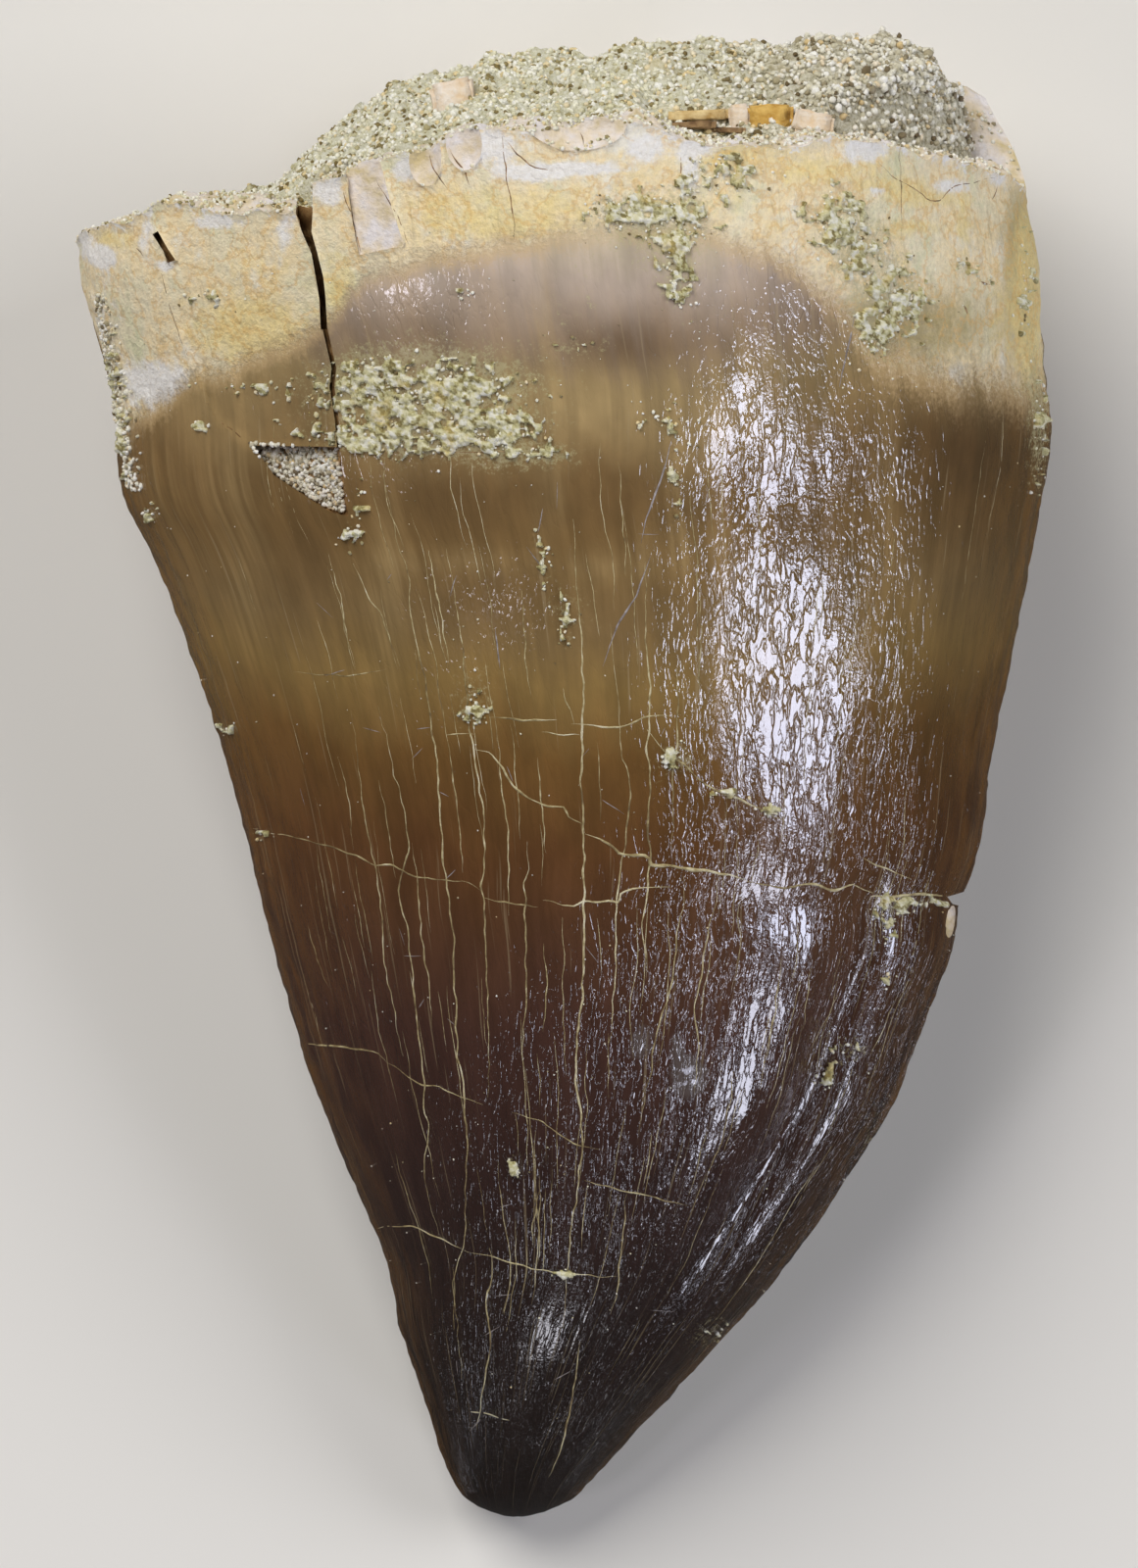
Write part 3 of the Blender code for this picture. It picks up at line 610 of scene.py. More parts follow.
def crown_cutters():
    """Every crack, pocket and chip that is cut from the crown."""
    return [
        prism_cutter("open_crack", "stained_break", [
            (-8.91, 20.8), (-8.35, 20.8), (-8.35, 19.0), (-8.39, 18.4), (-8.2, 17.7), (-8.0, 16.9),
            (-7.93, 16.25), (-7.88, 15.2), (-8.1, 15.2), (-8.15, 16.25), (-8.26, 16.9), (-8.4, 17.7),
            (-8.71, 18.4), (-8.91, 19.0)], (4, 4, 3, 3, 2, 2, 2, 1, 1, 2, 2, 2, 3, 3)),
        prism_cutter("lower_crack", "stained_break", [
            (-7.88, 15.25), (-7.58, 13.9), (-7.65, 13.3), (-7.5, 12.2), (-7.46, 11.2), (-7.56, 11.2),
            (-7.64, 12.2), (-7.82, 13.3), (-7.74, 13.9), (-8.05, 15.25)], 0.4),
        prism_cutter("matrix_pocket", "stained_break", [
            (-10.4, 11.4), (-7.5, 11.3), (-7.2, 9.0), (-7.8, 9.15), (-8.8, 9.8), (-9.7, 10.4)], 0.7),
        prism_cutter("rim_slit", "stained_break", [
            (-13.8, 18.5), (-13.62, 18.6), (-13.28, 18.0), (-13.02, 17.62), (-13.3, 17.52),
            (-13.42, 17.9)], 0.7),
        prism_cutter("edge_notch", "clean_break", [
            (13.0, -3.75), (14.6, -3.35), (14.6, -4.35), (13.2, -4.0)], 9.0),
        prism_cutter("slanting_spall", "clean_break", [
            (-7.4, 21.5), (-7.0, 18.6), (-6.8, 17.6), (-5.3, 17.9), (-5.7, 19.1), (-6.3, 21.5)],
            (0.35, 0.3, 0.02, 0.02, 0.2, 0.35)),
        scoop_cutter("left_chip", "clean_break", (-4.7, 20.6), (0.8, 1.4, 1.2), 0.3),
        scoop_cutter("right_chip", "clean_break", (-3.4, 21.1), (0.9, 1.3, 1.2), 0.3),
        scoop_cutter("rim_chip", "clean_break", (0.7, 21.8), (2.9, 1.4, 2.4), 0.5),
        scoop_cutter("edge_chip", "clean_break", (13.25, -4.65), (0.35, 0.6, 0.8), 0.25),
    ]


def cut(piece, cutters):
    """Cut the cutters out of a piece, and remove them."""
    for cutter in cutters:
        modifier = piece.modifiers.new(cutter.name, "BOOLEAN")
        modifier.operation = "DIFFERENCE"
        modifier.solver = "MANIFOLD"
        modifier.object = cutter
    graph = bpy.context.evaluated_depsgraph_get()
    mesh = bpy.data.meshes.new_from_object(piece.evaluated_get(graph))
    piece.modifiers.clear()
    piece.data = mesh
    for cutter in cutters:
        bpy.data.objects.remove(cutter, do_unlink=True)


def section_place(points):
    """Where points lie in their cross-section: -1 to 1 across it, and front or back."""
    x, y, z = points.T
    left, right = curve(LEFT_EDGE, y), curve(RIGHT_EDGE, y)
    across = np.clip((2 * x - left - right) / np.maximum(right - left, 0.1), -1, 1)
    return across, z >= curve(EDGE_HEIGHT, y) - 0.2


def plain_vertices(mesh):
    """Which vertices touch only faces of the tooth's own surface, and no break."""
    broken = np.zeros(len(mesh.vertices), bool)
    for face in mesh.polygons:
        if face.material_index:
            broken[list(face.vertices)] = True
    return ~broken


def dress_crown(mesh):
    """Fine relief of the crown, and the numbers that its material reads."""
    points = points_of(mesh)
    across, front = section_place(points)
    x, y, z = points.T
    px, py = photo_place(x, y, z)
    away = np.sqrt(1 - across**2)
    fibre = ring_points(11 * across, np.where(front, 11, -11) * away, y)
    seen = front.astype(float)

    flute = uneven(fibre[:, 0] / 1.1, fibre[:, 1] / 1.1, y / 11, 1)
    start = np.where(front, broken_line(ENAMEL_START_PX, px), 330 + 60 * uneven(x, y, 0, 6))
    dentine = step(start - py, np.interp(px, [500, 800, 900], [80, 90, 150]))
    edge = np.exp(-((1 - np.abs(across)) * 11 / 0.9))
    knobs = uneven(x, y, z, 0.7) + 0.6 * uneven(x, y, z + 20, 0.35)
    push = ENAMEL_FLUTES * flute * (1 - dentine) - DENTINE_DROP * step(start - py + 4, 16)
    push += DENTINE_LUMPS * dentine * (uneven(x, y, z, 1.1) + 0.6 * uneven(x, y, z + 5, 0.45))
    push += EDGE_KNOBS * edge * knobs
    points += vectors(mesh.vertex_normals, "vector") * (push * plain_vertices(mesh))[:, None]
    points[:, 2] = np.maximum(points[:, 2], 0)
    set_points(mesh, points)

    rim_px = photo_place(x, rim_height(x, np.where(front, 1.0, -1.0)), z)[1]
    shift = np.interp(px, [150, 300, 450, 700, 900, 1000], [40, 20, 0, 0, 40, 50])
    paint(mesh, "band", (py + shift - BAND_TOP_PX) / BAND_SPAN_PX)
    paint(mesh, "dentine", dentine)
    paint(mesh, "rim", np.clip(1 - (py - rim_px) / 60, 0, 2))
    paint(mesh, "edge", edge)
    # How far out towards a flank a point lies, the left one counting less; the enamel is darkened by it as
    # painted shade
    paint(mesh, "slope", np.where(across > 0, across, -0.75 * across))
    paint(mesh, "fibre", fibre)
    dusty = [(x, y, 1.3 * wide, 1.3 * high, 0.6 * much) for x, y, wide, high, much in CRUST_SPOTS_PX]
    zones = {"dark": DARK_SPOTS_PX, "light": LIGHT_SPOTS_PX, "orange": ORANGE_SPOTS_PX,
             "white": WHITE_SPOTS_PX, "film": FILM_SPOTS_PX, "wrinkled": WRINKLE_SPOTS_PX,
             "shade": SHADE_SPOTS_PX, "dust": dusty + DUST_SPOTS_PX}
    for name, places in zones.items():
        paint(mesh, name, np.clip(spots(px, py, places), 0, 1) * seen)


def build_crown():
    """The crown's visible mesh."""
    tip = ((LEFT_EDGE[0][1] + RIGHT_EDGE[0][1]) / 2, TIP_Y, EDGE_HEIGHT[0][1])
    end = [float(value) for value in cavity_point(np.array(CAVITY_TIP_Y), 0.0)]
    rings = crown_rings()
    piece = loft("crown_surface", rings, tip, end)
    columns = FRONT_COLUMNS + BACK_COLUMNS
    outer, quads = columns * (TIP_RINGS + BODY_RINGS - 1), columns * (len(rings) - 1)
    number = np.arange(len(piece.data.polygons))
    give_finishes(piece, ((number >= outer) & (number < quads)) | (number >= quads + columns))
    cut(piece, crown_cutters())
    dress_crown(piece.data)
    piece.data.shade_smooth()
    piece.data.set_sharp_from_angle(angle=math.radians(42))
    return piece


# Sediment in the base


def plug_end(x, rise, front):
    """How far along Y the sediment stands out, over a place of the base."""
    top = broken_line(PLUG_OUTLINE, x)
    start, stop, depth = HOLLOW_BEHIND_RIM
    hollow = depth * step(x - start, 0.8) * step(stop - x, 0.8) * step(rise - 0.6, 0.4)
    at_front = broken_line(FRONT_RIM, x) - 0.1 - hollow
    at_back = broken_line(BACK_RIM, x) - 0.3
    edge = np.where(front, np.minimum(at_front, top), np.minimum(at_back, top))
    return top + (edge - top) * np.where(front, rise**1.5, rise**2)


def build_plug():
    """Sediment as one loft: its end in the cavity, its side, then the lumpy end at the base."""
    angle = np.linspace(0, 2 * math.pi, PLUG_COLUMNS, endpoint=False)
    front = np.sin(angle) >= 0
    rise = np.abs(np.sin(angle)) ** FLANK_POWER
    mouth_x = cavity_point(np.full_like(angle, CAVITY_MOUTH_Y), angle, PLUG_GAP)[0]
    mouth_y = plug_end(mouth_x, rise, front)
    start = CAVITY_TIP_Y + 2 * PLUG_GAP
    rings = []
    for t in np.linspace(0, 1, PLUG_SIDE_RINGS + 1)[1:]:
        rings.append(ring_points(*cavity_point(start + (mouth_y - start) * t, angle, PLUG_GAP)))
    for shrink in np.linspace(1, 0, PLUG_END_RINGS + 1)[1:-1]:
        x, _, z = cavity_point(mouth_y, angle, PLUG_GAP, shrink)
        y = plug_end(x, rise * shrink, front)
        rough = uneven(x, y, z, 1.8) * 0.5 + uneven(x, y, z, 0.7) * 0.42 + uneven(x, y, z, 0.3) * 0.2
        rings.append(ring_points(x, y + rough * min(1, (1 - shrink) * 8), z))
    middle = cavity_point(np.array(CAVITY_MOUTH_Y), 0.0, PLUG_GAP, 0.0)
    first = [float(value) for value in cavity_point(np.array(start), 0.0, PLUG_GAP)]
    last = (float(middle[0]), float(plug_end(middle[0], 0.0, True)), float(middle[2]))
    piece = loft("sediment_plug", rings, first, last)
    paint(piece.data, "grey", washed(points_of(piece.data)[:, 0]))
    return piece


# Grains


def grain_cloud(name, places, sizes, greys, draw):
    """Many irregular grains joined in one mesh; a grey of 1 gives washed grains, 0 dusty ones."""
    base, base_faces = ball(1)
    count = len(places)
    turn = np.linalg.qr(draw.normal(size=(count, 3, 3)))[0]
    stretch = draw.uniform(0.65, 1.3, size=(count, 1, 3))
    jitter = draw.uniform(0.82, 1.18, size=(count, len(base), 1))
    grains = (base[None] * stretch * jitter) @ turn
    grains = grains * np.asarray(sizes)[:, None, None] + np.asarray(places)[:, None, :]
    faces = np.array(base_faces)[None] + (np.arange(count) * len(base))[:, None, None]
    piece = mesh_object(name, grains.reshape(-1, 3), faces.reshape(-1, 3).tolist())
    paint(piece.data, "tone", np.repeat(draw.uniform(size=count), len(base)))
    paint(piece.data, "grey", np.repeat(greys, len(base)))
    piece.data.shade_smooth()
    return piece


def scatter(mesh, wanted, count, draw):
    """Random places, and the normals there, spread evenly over the wanted faces of a mesh."""
    points = points_of(mesh)
    corners = np.array([face.vertices[:3] for face in mesh.polygons])
    areas = np.array([face.area for face in mesh.polygons]) * wanted
    chosen = draw.choice(len(areas), size=count, p=areas / areas.sum())
    mixing = draw.dirichlet((1, 1, 1), size=count)
    return (points[corners[chosen]] * mixing[:, :, None]).sum(axis=1), faces_of(mesh)[1][chosen]


def surface_tree(piece):
    """Search tree of a piece's faces, in millimetres."""
    return BVHTree.FromPolygons([vertex.co / MM for vertex in piece.data.vertices],
                                [face.vertices for face in piece.data.polygons])


def finder(tree):
    """Function that finds a surface behind a pixel of the photograph."""
    eye = Vector((*AIM, CAMERA_HEIGHT))

    def find(px, py):
        x = AIM[0] + (px - PHOTO_MIDDLE_PX[0]) / PX_PER_MM
        y = AIM[1] - (py - PHOTO_MIDDLE_PX[1]) / PX_PER_MM
        return tree.ray_cast(eye, (Vector((x, y, PLANE)) - eye).normalized())[:2]

    return find


def crust_strength(px, py):
    """How much sediment crust covers a place of the outer face."""
    return np.clip(spots(px, py, CRUST_SPOTS_PX), 0, 1)


def granule(place):
    """Height of a rounded granule at a place, from 0 to 1, and the granule's own tone."""
    distances, centers = noise.voronoi(place)
    swell = math.sqrt(max(0.0, 1 - (distances[0] / 0.62) ** 2))
    return swell, (noise.cell(centers[0] * 7.3) + 1) / 2


def crust_sheets(find):
    """Sediment stuck to the outer face: lumpy sheets of granules, closed underneath."""
    gx, gy = np.meshgrid(*[np.arange(*ends, CRUST_STEP_PX) for ends in CRUST_AREA_PX])
    strength = crust_strength(gx, gy)
    top, low, tones, kept = [], [], [], np.full(gx.shape, -1)
    for row, column in zip(*np.nonzero(strength > 0.15)):
        px, py = gx[row, column], gy[row, column]
        patch = noise.noise(Vector((px / 15, py / 15, 2))) + 0.8 * noise.noise(Vector((px / 6, py / 6, 4)))
        thick = strength[row, column] + 0.95 * patch - 0.5
        hit, normal = find(px, py)
        if thick < 0 or hit is None or normal.z < 0.15:
            continue
        swell, tone = granule(Vector((px, py, 40 * hit.z)) / GRANULE_PX)
        kept[row, column] = len(top)
        height = 0.02 + CRUST_THICKNESS * min(1, thick * 1.6) * (0.75 + 0.5 * patch)
        top.append(hit + normal * (height + GRANULE_HEIGHT * swell))
        low.append(hit - normal * 0.1)
        tones.append(tone)
    corners = np.stack([kept[:-1, :-1], kept[1:, :-1], kept[1:, 1:], kept[:-1, 1:]], axis=-1)
    quads = corners[(corners >= 0).all(axis=-1)]
    sharing = np.bincount(quads.ravel(), minlength=len(top))
    border = sharing < 4
    quads = quads[~border[quads].all(axis=1)]
    top, low = np.array(top), np.array(low)
    top[border] = low[border] + (top[border] - low[border]) * 0.25
    under = np.where(border, np.arange(len(top)), np.arange(len(top)) + len(top))
    faces = quads.tolist() + under[quads[:, ::-1]].tolist()
    piece = mesh_object("crust_sheets", np.concatenate([top, low]), faces)
    paint(piece.data, "tone", tones + tones)
    piece.data.shade_smooth()
    with edited(piece) as shape:
        unused = [vertex for vertex in shape.verts if not vertex.link_faces]
        bmesh.ops.delete(shape, geom=unused, context="VERTS")
    return piece


def inside_outline(px, py, outline):
    """Whether a point lies inside an outline."""
    inside = False
    for (x0, y0), (x1, y1) in zip(outline, outline[1:] + outline[:1]):
        if (y0 > py) != (y1 > py) and px < x0 + (py - y0) * (x1 - x0) / (y1 - y0):
            inside = not inside
    return inside


def crust_grains(find, draw):
    """Loose grains on and around the crusts, in the pocket, and along the left edge."""
    wanted = []
    areas = np.array([half_x * half_y for _, _, half_x, half_y, _ in CRUST_SPOTS_PX])
    for chosen in draw.choice(len(areas), size=CRUST_TRIES, p=areas / areas.sum()):
        x, y, half_x, half_y, _ = CRUST_SPOTS_PX[chosen]
        px, py = x + draw.normal() * half_x * 0.7, y + draw.normal() * half_y * 0.7
        clump = noise.noise(Vector((px / 12, py / 12, 3)))
        if draw.uniform() < 0.1 + 0.7 * float(crust_strength(px, py)) - 0.5 * clump:
            wanted.append((px, py, draw.uniform(0.03, 0.075), 0.2))
    low, high = np.min(POCKET_PX, axis=0), np.max(POCKET_PX, axis=0)
    for _ in range(POCKET_TRIES):
        px, py = draw.uniform(low, high)
        if inside_outline(px, py, POCKET_PX):
            wanted.append((px, py, draw.uniform(0.06, 0.11), 1.0))
    for _ in range(EDGE_GRAINS):
        py = draw.uniform(300, 500)
        px = 100 + (py - 320) * 0.17 + abs(draw.normal()) * 7
        wanted.append((px, py, draw.uniform(0.05, 0.10), 0.7))
    for _ in range(STRAY_GRAINS):
        px, py = draw.uniform(120, 1060), draw.uniform(200, 1480)
        wanted.append((px, py, draw.uniform(0.015, 0.035), 0.5))
    places, sizes, greys = [], [], []
    for px, py, size, grey in wanted:
        hit, normal = find(px, py)
        if hit is not None:
            places.append(hit + normal * size * 0.3)
            sizes.append(size)
            greys.append(grey)
    return grain_cloud("crust_grains", places, sizes, greys, draw)


def washed(x):
    """How washed the sediment is, over a place across the base: dusty left, clean grains right."""
    return 0.8 * step(x - 6.0, 7)


def plug_grains(plug, draw):
    """Sand grains all over the sediment's end."""
    centers, normals = faces_of(plug.data)
    behind = centers[:, 1] > broken_line(FRONT_RIM, centers[:, 0]) - 0.2
    end = (centers[:, 1] > 18.5) & ((normals[:, 1] > 0.1) | (behind & (normals[:, 2] > 0)))
    wanted = end * np.where(centers[:, 2] > 10, 1.0, 0.4)
    places, way = scatter(plug.data, wanted, PLUG_GRAINS, draw)
    greys = washed(places[:, 0])
    sizes = draw.uniform(0.06, 0.11, size=len(places)) * (1 + 0.15 * greys)
    sizes *= np.where(draw.uniform(size=len(places)) > 0.96, 1.5, 1)
    places += way * (sizes * (0.1 + 0.4 * greys))[:, None]
    return grain_cloud("plug_grains", places, sizes, greys, draw)


def ledge_grains(crown, draw):
    """Fine grains on the broken edge of the wall."""
    mesh = crown.data
    centers, normals = faces_of(mesh)
    broken = np.array([face.material_index == 1 for face in mesh.polygons])
    ledge = broken & (centers[:, 1] > 17.8) & (normals[:, 1] > 0.45) & (centers[:, 2] > 9)
    places, way = scatter(mesh, ledge, LEDGE_GRAINS, draw)
    sizes = draw.uniform(0.045, 0.09, size=len(places))
    return grain_cloud("ledge_grains", places + way * 0.02, sizes, washed(places[:, 0]) * 0.8, draw)


def fragments(find):
    """Broken pieces of dentine that stick in the hollow behind the rim, by kind."""
    pieces = {}
    for x, y, width, height, turn, kind in FRAGMENTS_PX:
        hit = find(x, y)[0]
        if hit is None:
            continue
        shape = bmesh.new()
        bmesh.ops.create_cube(shape, size=2.0)
        bmesh.ops.bevel(shape, geom=shape.edges[:], offset=0.18, segments=2, affect="EDGES")
        bmesh.ops.subdivide_edges(shape, edges=shape.edges[:], cuts=3, use_grid_fill=True)
        points, faces = taken(shape)
        points *= (width / PX_PER_MM / 2, height / PX_PER_MM / 2, 0.4)
        points += 0.09 * ring_points(*[uneven(*(points + shift).T, 0.5) for shift in (x, y, -x)])
        spin = math.radians(turn)
        points[:, :2] = points[:, :2] @ np.array([[math.cos(spin), math.sin(spin)],
                                                  [-math.sin(spin), math.cos(spin)]])
        vertices, all_faces = pieces.setdefault(kind, ([], []))
        all_faces += [[len(vertices) + index for index in face] for face in faces]
        vertices += (points + np.array(hit)).tolist()
    return {kind: outward(mesh_object(f"{kind}_fragments", *shape)) for kind, shape in pieces.items()}


# Cracks and scratches


def tubes(name, lines, flatness):
    """Tapered, flattened tubes along lines of (places, normals, radii) that have over 3 places."""
    vertices, faces, sides = [], [], TUBE_SIDES
    turn = np.linspace(0, 2 * math.pi, sides, endpoint=False)
    for places, normals, radii in [line for line in lines if len(line[0]) > 3]:
        along = np.gradient(places, axis=0)
        along /= np.maximum(np.linalg.norm(along, axis=1), 1e-9)[:, None]
        aside = np.cross(normals, along)
        aside /= np.maximum(np.linalg.norm(aside, axis=1), 1e-9)[:, None]
        rings = (places[:, None] + radii[:, None, None]
                 * (np.cos(turn)[None, :, None] * aside[:, None]
                    + flatness * np.sin(turn)[None, :, None] * normals[:, None]))
        start, count = len(vertices), len(places)
        vertices.extend(rings.reshape(-1, 3).tolist())
        for row in range(count - 1):
            for side in range(sides):
                a, b = start + row * sides + side, start + row * sides + (side + 1) % sides
                faces.append([a, b, b + sides, a + sides])
        faces.append([start + side for side in range(sides)][::-1])
        faces.append([start + (count - 1) * sides + side for side in range(sides)])
    piece = mesh_object(name, vertices, faces)
    with edited(piece) as shape:
        bmesh.ops.recalc_face_normals(shape, faces=shape.faces)
    piece.data.shade_smooth()
    return piece


def traced(hits, radii):
    """Places, normals and radii of a line, without those that missed the crown."""
    found = [(*hit, radius) for hit, radius in zip(hits, radii) if hit[0] is not None]
    return [np.array(values) for values in zip(*found)] or [np.empty(0)] * 3


def tapered(count, slope, least):
    """Share of its full width that a line has at each of its places."""
    from_end = np.minimum(np.arange(count), np.arange(count)[::-1])
    return np.minimum(1, slope * from_end / count + least)


def photo_line(find, width_px, points, draw, wander=1.2):
    """Line on the crown behind pixels of the photograph, with small wanderings."""
    points = np.array(points, float)
    spans = np.linalg.norm(np.diff(points, axis=0), axis=1)
    length = np.concatenate([[0], np.cumsum(spans)])
    count = max(4, int(length[-1] / 5))
    at = np.linspace(0, length[-1], count)
    seed = draw.uniform(0, 100)
    shake = np.array([noise.noise_vector(Vector((t / 16, seed, 0))) for t in at])
    px, py = [np.interp(at, length, points[:, i]) + wander * 2 * shake[:, i] for i in (0, 1)]
    thick = [0.75 + 0.5 * noise.noise(Vector((t / 11, seed + 7, 0))) for t in at]
    radii = width_px / PX_PER_MM / 2 * tapered(count, 3, 0.15) * thick
    return traced([find(*place) for place in zip(px, py)], radii)


def fibre_line(tree, across, start_y, length, front, radius, draw):
    """Hairline along the crown's growth direction, on the front or the back."""
    count = max(5, int(length / 0.35))
    seed = draw.uniform(0, 100)
    height, way = (60, -1) if front else (-60, 1)
    hits = []
    for i in range(count):
        y = start_y + length * i / (count - 1)
        left, right = float(curve(LEFT_EDGE, np.array(y))), float(curve(RIGHT_EDGE, np.array(y)))
        x = (left + right) / 2 + (right - left) / 2 * across
        x += 0.09 * noise.noise(Vector((y / 0.8, seed, 0))) + 0.15 * noise.noise(Vector((y / 3, seed, 5)))
        hits.append(tree.ray_cast(Vector((x, y, height)), Vector((0, 0, way)))[:2])
    return traced(hits, radius * tapered(count, 4, 0.1))


def crack_fillings(find, tree, draw):
    """Pale sediment in the hairline cracks."""
    lines = [photo_line(find, 0.5 * width + 0.5, points, draw) for width, points in CRACKS_PX]
    for number in range(HAIRLINES):
        front = number < FRONT_HAIRLINES
        across = draw.uniform(-0.93, 0.93)
        start_y = draw.uniform(-19, 9)
        length = draw.uniform(1.5, 6)
        radius = draw.uniform(0.008, 0.016)
        lines.append(fibre_line(tree, across, start_y, length, front, radius, draw))
    return tubes("crack_fillings", lines, flatness=0.3)


def dark_cracks(find, draw):
    """Open cracks of the broken base, as tubes of painted shadow."""
    lines = [photo_line(find, width * 0.7, points, draw) for width, points in CRACK_SHADOWS_PX]
    return tubes("dark_cracks", lines, flatness=0.25)


def scratches(find, draw):
    """Pale scratches in the enamel."""
    lines = [photo_line(find, width, points, draw, 0.4) for width, points in SCRATCHES_PX]
    for _ in range(SMALL_SCRATCHES):
        px, py = draw.uniform(300, 900), draw.uniform(480, 1450)
        turn, length = draw.uniform(0, math.pi), draw.uniform(8, 34)
        end = (px + length * math.cos(turn), py + length * math.sin(turn))
        lines.append(photo_line(find, draw.uniform(0.9, 1.6), [(px, py), end], draw, 0.3))
    return tubes("surface_scratches", lines, flatness=0.3)


# Materials


class Shader:
    """Node tree of one material, built around its Principled BSDF."""

    def __init__(self, name):
        self.material = bpy.data.materials.new(name)
        self.material.use_nodes = True
        self.tree = self.material.node_tree
        self.surface = self.tree.nodes["Principled BSDF"]

    def feed(self, socket, value):
        """Link a socket to another, or set its value."""
        if isinstance(value, bpy.types.NodeSocket):
            self.tree.links.new(value, socket)
        else:
            socket.default_value = value

    def node(self, kind, sockets, **settings):
        """New node with its settings, and with its sockets fed by number or name."""
        node = self.tree.nodes.new(kind)
        for setting, value in settings.items():
            setattr(node, setting, value)
        for socket, value in sockets.items():
            self.feed(node.inputs[socket], value)
        return node

    def finish(self, **values):
        """Feed the shader's own sockets, by name, and return the material."""
        for name, value in values.items():
            self.feed(self.surface.inputs[name.replace("_", " ")], value)
        return self.material

    def attribute(self, name, output="Fac"):
        return self.node("ShaderNodeAttribute", {}, attribute_name=name).outputs[output]

    def place(self):
        """Object place in millimetres."""
        return self.scaled(self.node("ShaderNodeTexCoord", {}).outputs["Object"], 1 / MM)

    def scaled(self, vector, factors):
        """Vector times a number, or times a number for each axis."""
        factors = np.broadcast_to(factors, 3).tolist()
        return self.node("ShaderNodeVectorMath", {0: vector, 1: factors}, operation="MULTIPLY").outputs[0]

    def noise(self, vector, factors, detail=3.0, roughness=0.55):
        sockets = {"Vector": self.scaled(vector, factors), "Scale": 1.0, "Detail": detail,
                   "Roughness": roughness}
        return self.node("ShaderNodeTexNoise", sockets).outputs[0]

    def math(self, operation, a, b=0.0):
        return self.node("ShaderNodeMath", {0: a, 1: b}, operation=operation).outputs[0]

    def add(self, a, b):
        return self.math("ADD", a, b)

    def multiply(self, a, b):
        return self.math("MULTIPLY", a, b)

    def ruffled(self, value, pattern, amount):
        """Value pushed up or down by a noise from 0 to 1, by at most half the amount."""
        return self.add(value, self.multiply(self.math("SUBTRACT", pattern, 0.5), amount))

    def off_middle(self, pattern):
        """How far a noise from 0 to 1 is from its middle."""
        return self.math("ABSOLUTE", self.math("SUBTRACT", pattern, 0.5))

    def span(self, value, low, high, to_low=0.0, to_high=1.0):
        """Value mapped smoothly from one span to another, and held inside it."""
        sockets = dict(enumerate((value, low, high, to_low, to_high)))
        return self.node("ShaderNodeMapRange", sockets, interpolation_type="SMOOTHSTEP").outputs[0]

    def mix(self, a, b, factor, blend="MIX"):
        sockets = {0: factor, 6: a, 7: b}
        return self.node("ShaderNodeMix", sockets, data_type="RGBA", blend_type=blend).outputs[2]

    def tinted(self, color, value, *span):
        """Colour made darker or lighter by a value that is mapped as in span."""
        sockets = dict.fromkeys(range(3), self.span(value, *span))
        return self.mix(color, self.node("ShaderNodeCombineColor", sockets).outputs[0], 1.0, "MULTIPLY")

    def ramp(self, value, stops):
        """Colour ramp with (place, colour) stops."""
        node = self.node("ShaderNodeValToRGB", {0: value})
        elements = node.color_ramp.elements
        while len(elements) < len(stops):
            elements.new(0.5)
        for element, (at, color) in zip(elements, stops):
            element.position = at
            element.color = rgb(*color)
        return node.outputs[0]

    def bump(self, height, distance_mm):
        sockets = {"Strength": 1.0, "Distance": distance_mm * MM, "Height": height}
        return self.node("ShaderNodeBump", sockets).outputs[0]


def rgb(red, green, blue):
    """Linear colour from 0 to 255 display values."""
    values = [value / 255 for value in (red, green, blue)]
    return (*[v / 12.92 if v <= 0.04045 else ((v + 0.055) / 1.055) ** 2.4 for v in values], 1.0)


def enamel_color(s, fibre, blotch, streak, hair):
    """Enamel bands from olive to dark red brown: blotches, streaks, amber edges, painted flank shade."""
    band = s.ruffled(s.ruffled(s.attribute("band"), blotch, 0.06), streak, 0.04)
    color = s.ramp(band, [((row - BAND_TOP_PX) / BAND_SPAN_PX, tone) for row, tone in ENAMEL_BANDS_PX])
    dark = s.multiply(s.attribute("dark"), s.span(streak, 0.25, 0.6, 0.6, 1.0))
    color = s.mix(color, rgb(88, 66, 42), s.multiply(dark, 0.75))
    light = s.multiply(s.attribute("light"), s.span(streak, 0.35, 0.7, 0.3, 1.0))
    color = s.mix(color, rgb(172, 148, 104), s.multiply(light, 0.75))
    color = s.tinted(color, streak, 0.3, 0.7, 0.88, 1.11)
    patch = s.noise(fibre, (0.9, 0.9, 0.35), 3, 0.6)
    color = s.tinted(color, patch, 0.3, 0.7, 0.86, 1.12)
    # Painted shade: the enamel is made darker towards the flanks, most on the right
    color = s.tinted(color, s.attribute("slope"), 0.62, 0.98, 1.0, 0.58)
    amber = s.multiply(s.attribute("edge"), s.span(patch, 0.35, 0.6, 0.2, 1.0))
    color = s.mix(color, rgb(124, 88, 44), s.multiply(amber, 0.55))
    return s.mix(color, rgb(176, 158, 124), s.span(hair, 0.64, 0.72, 0.0, 0.25))


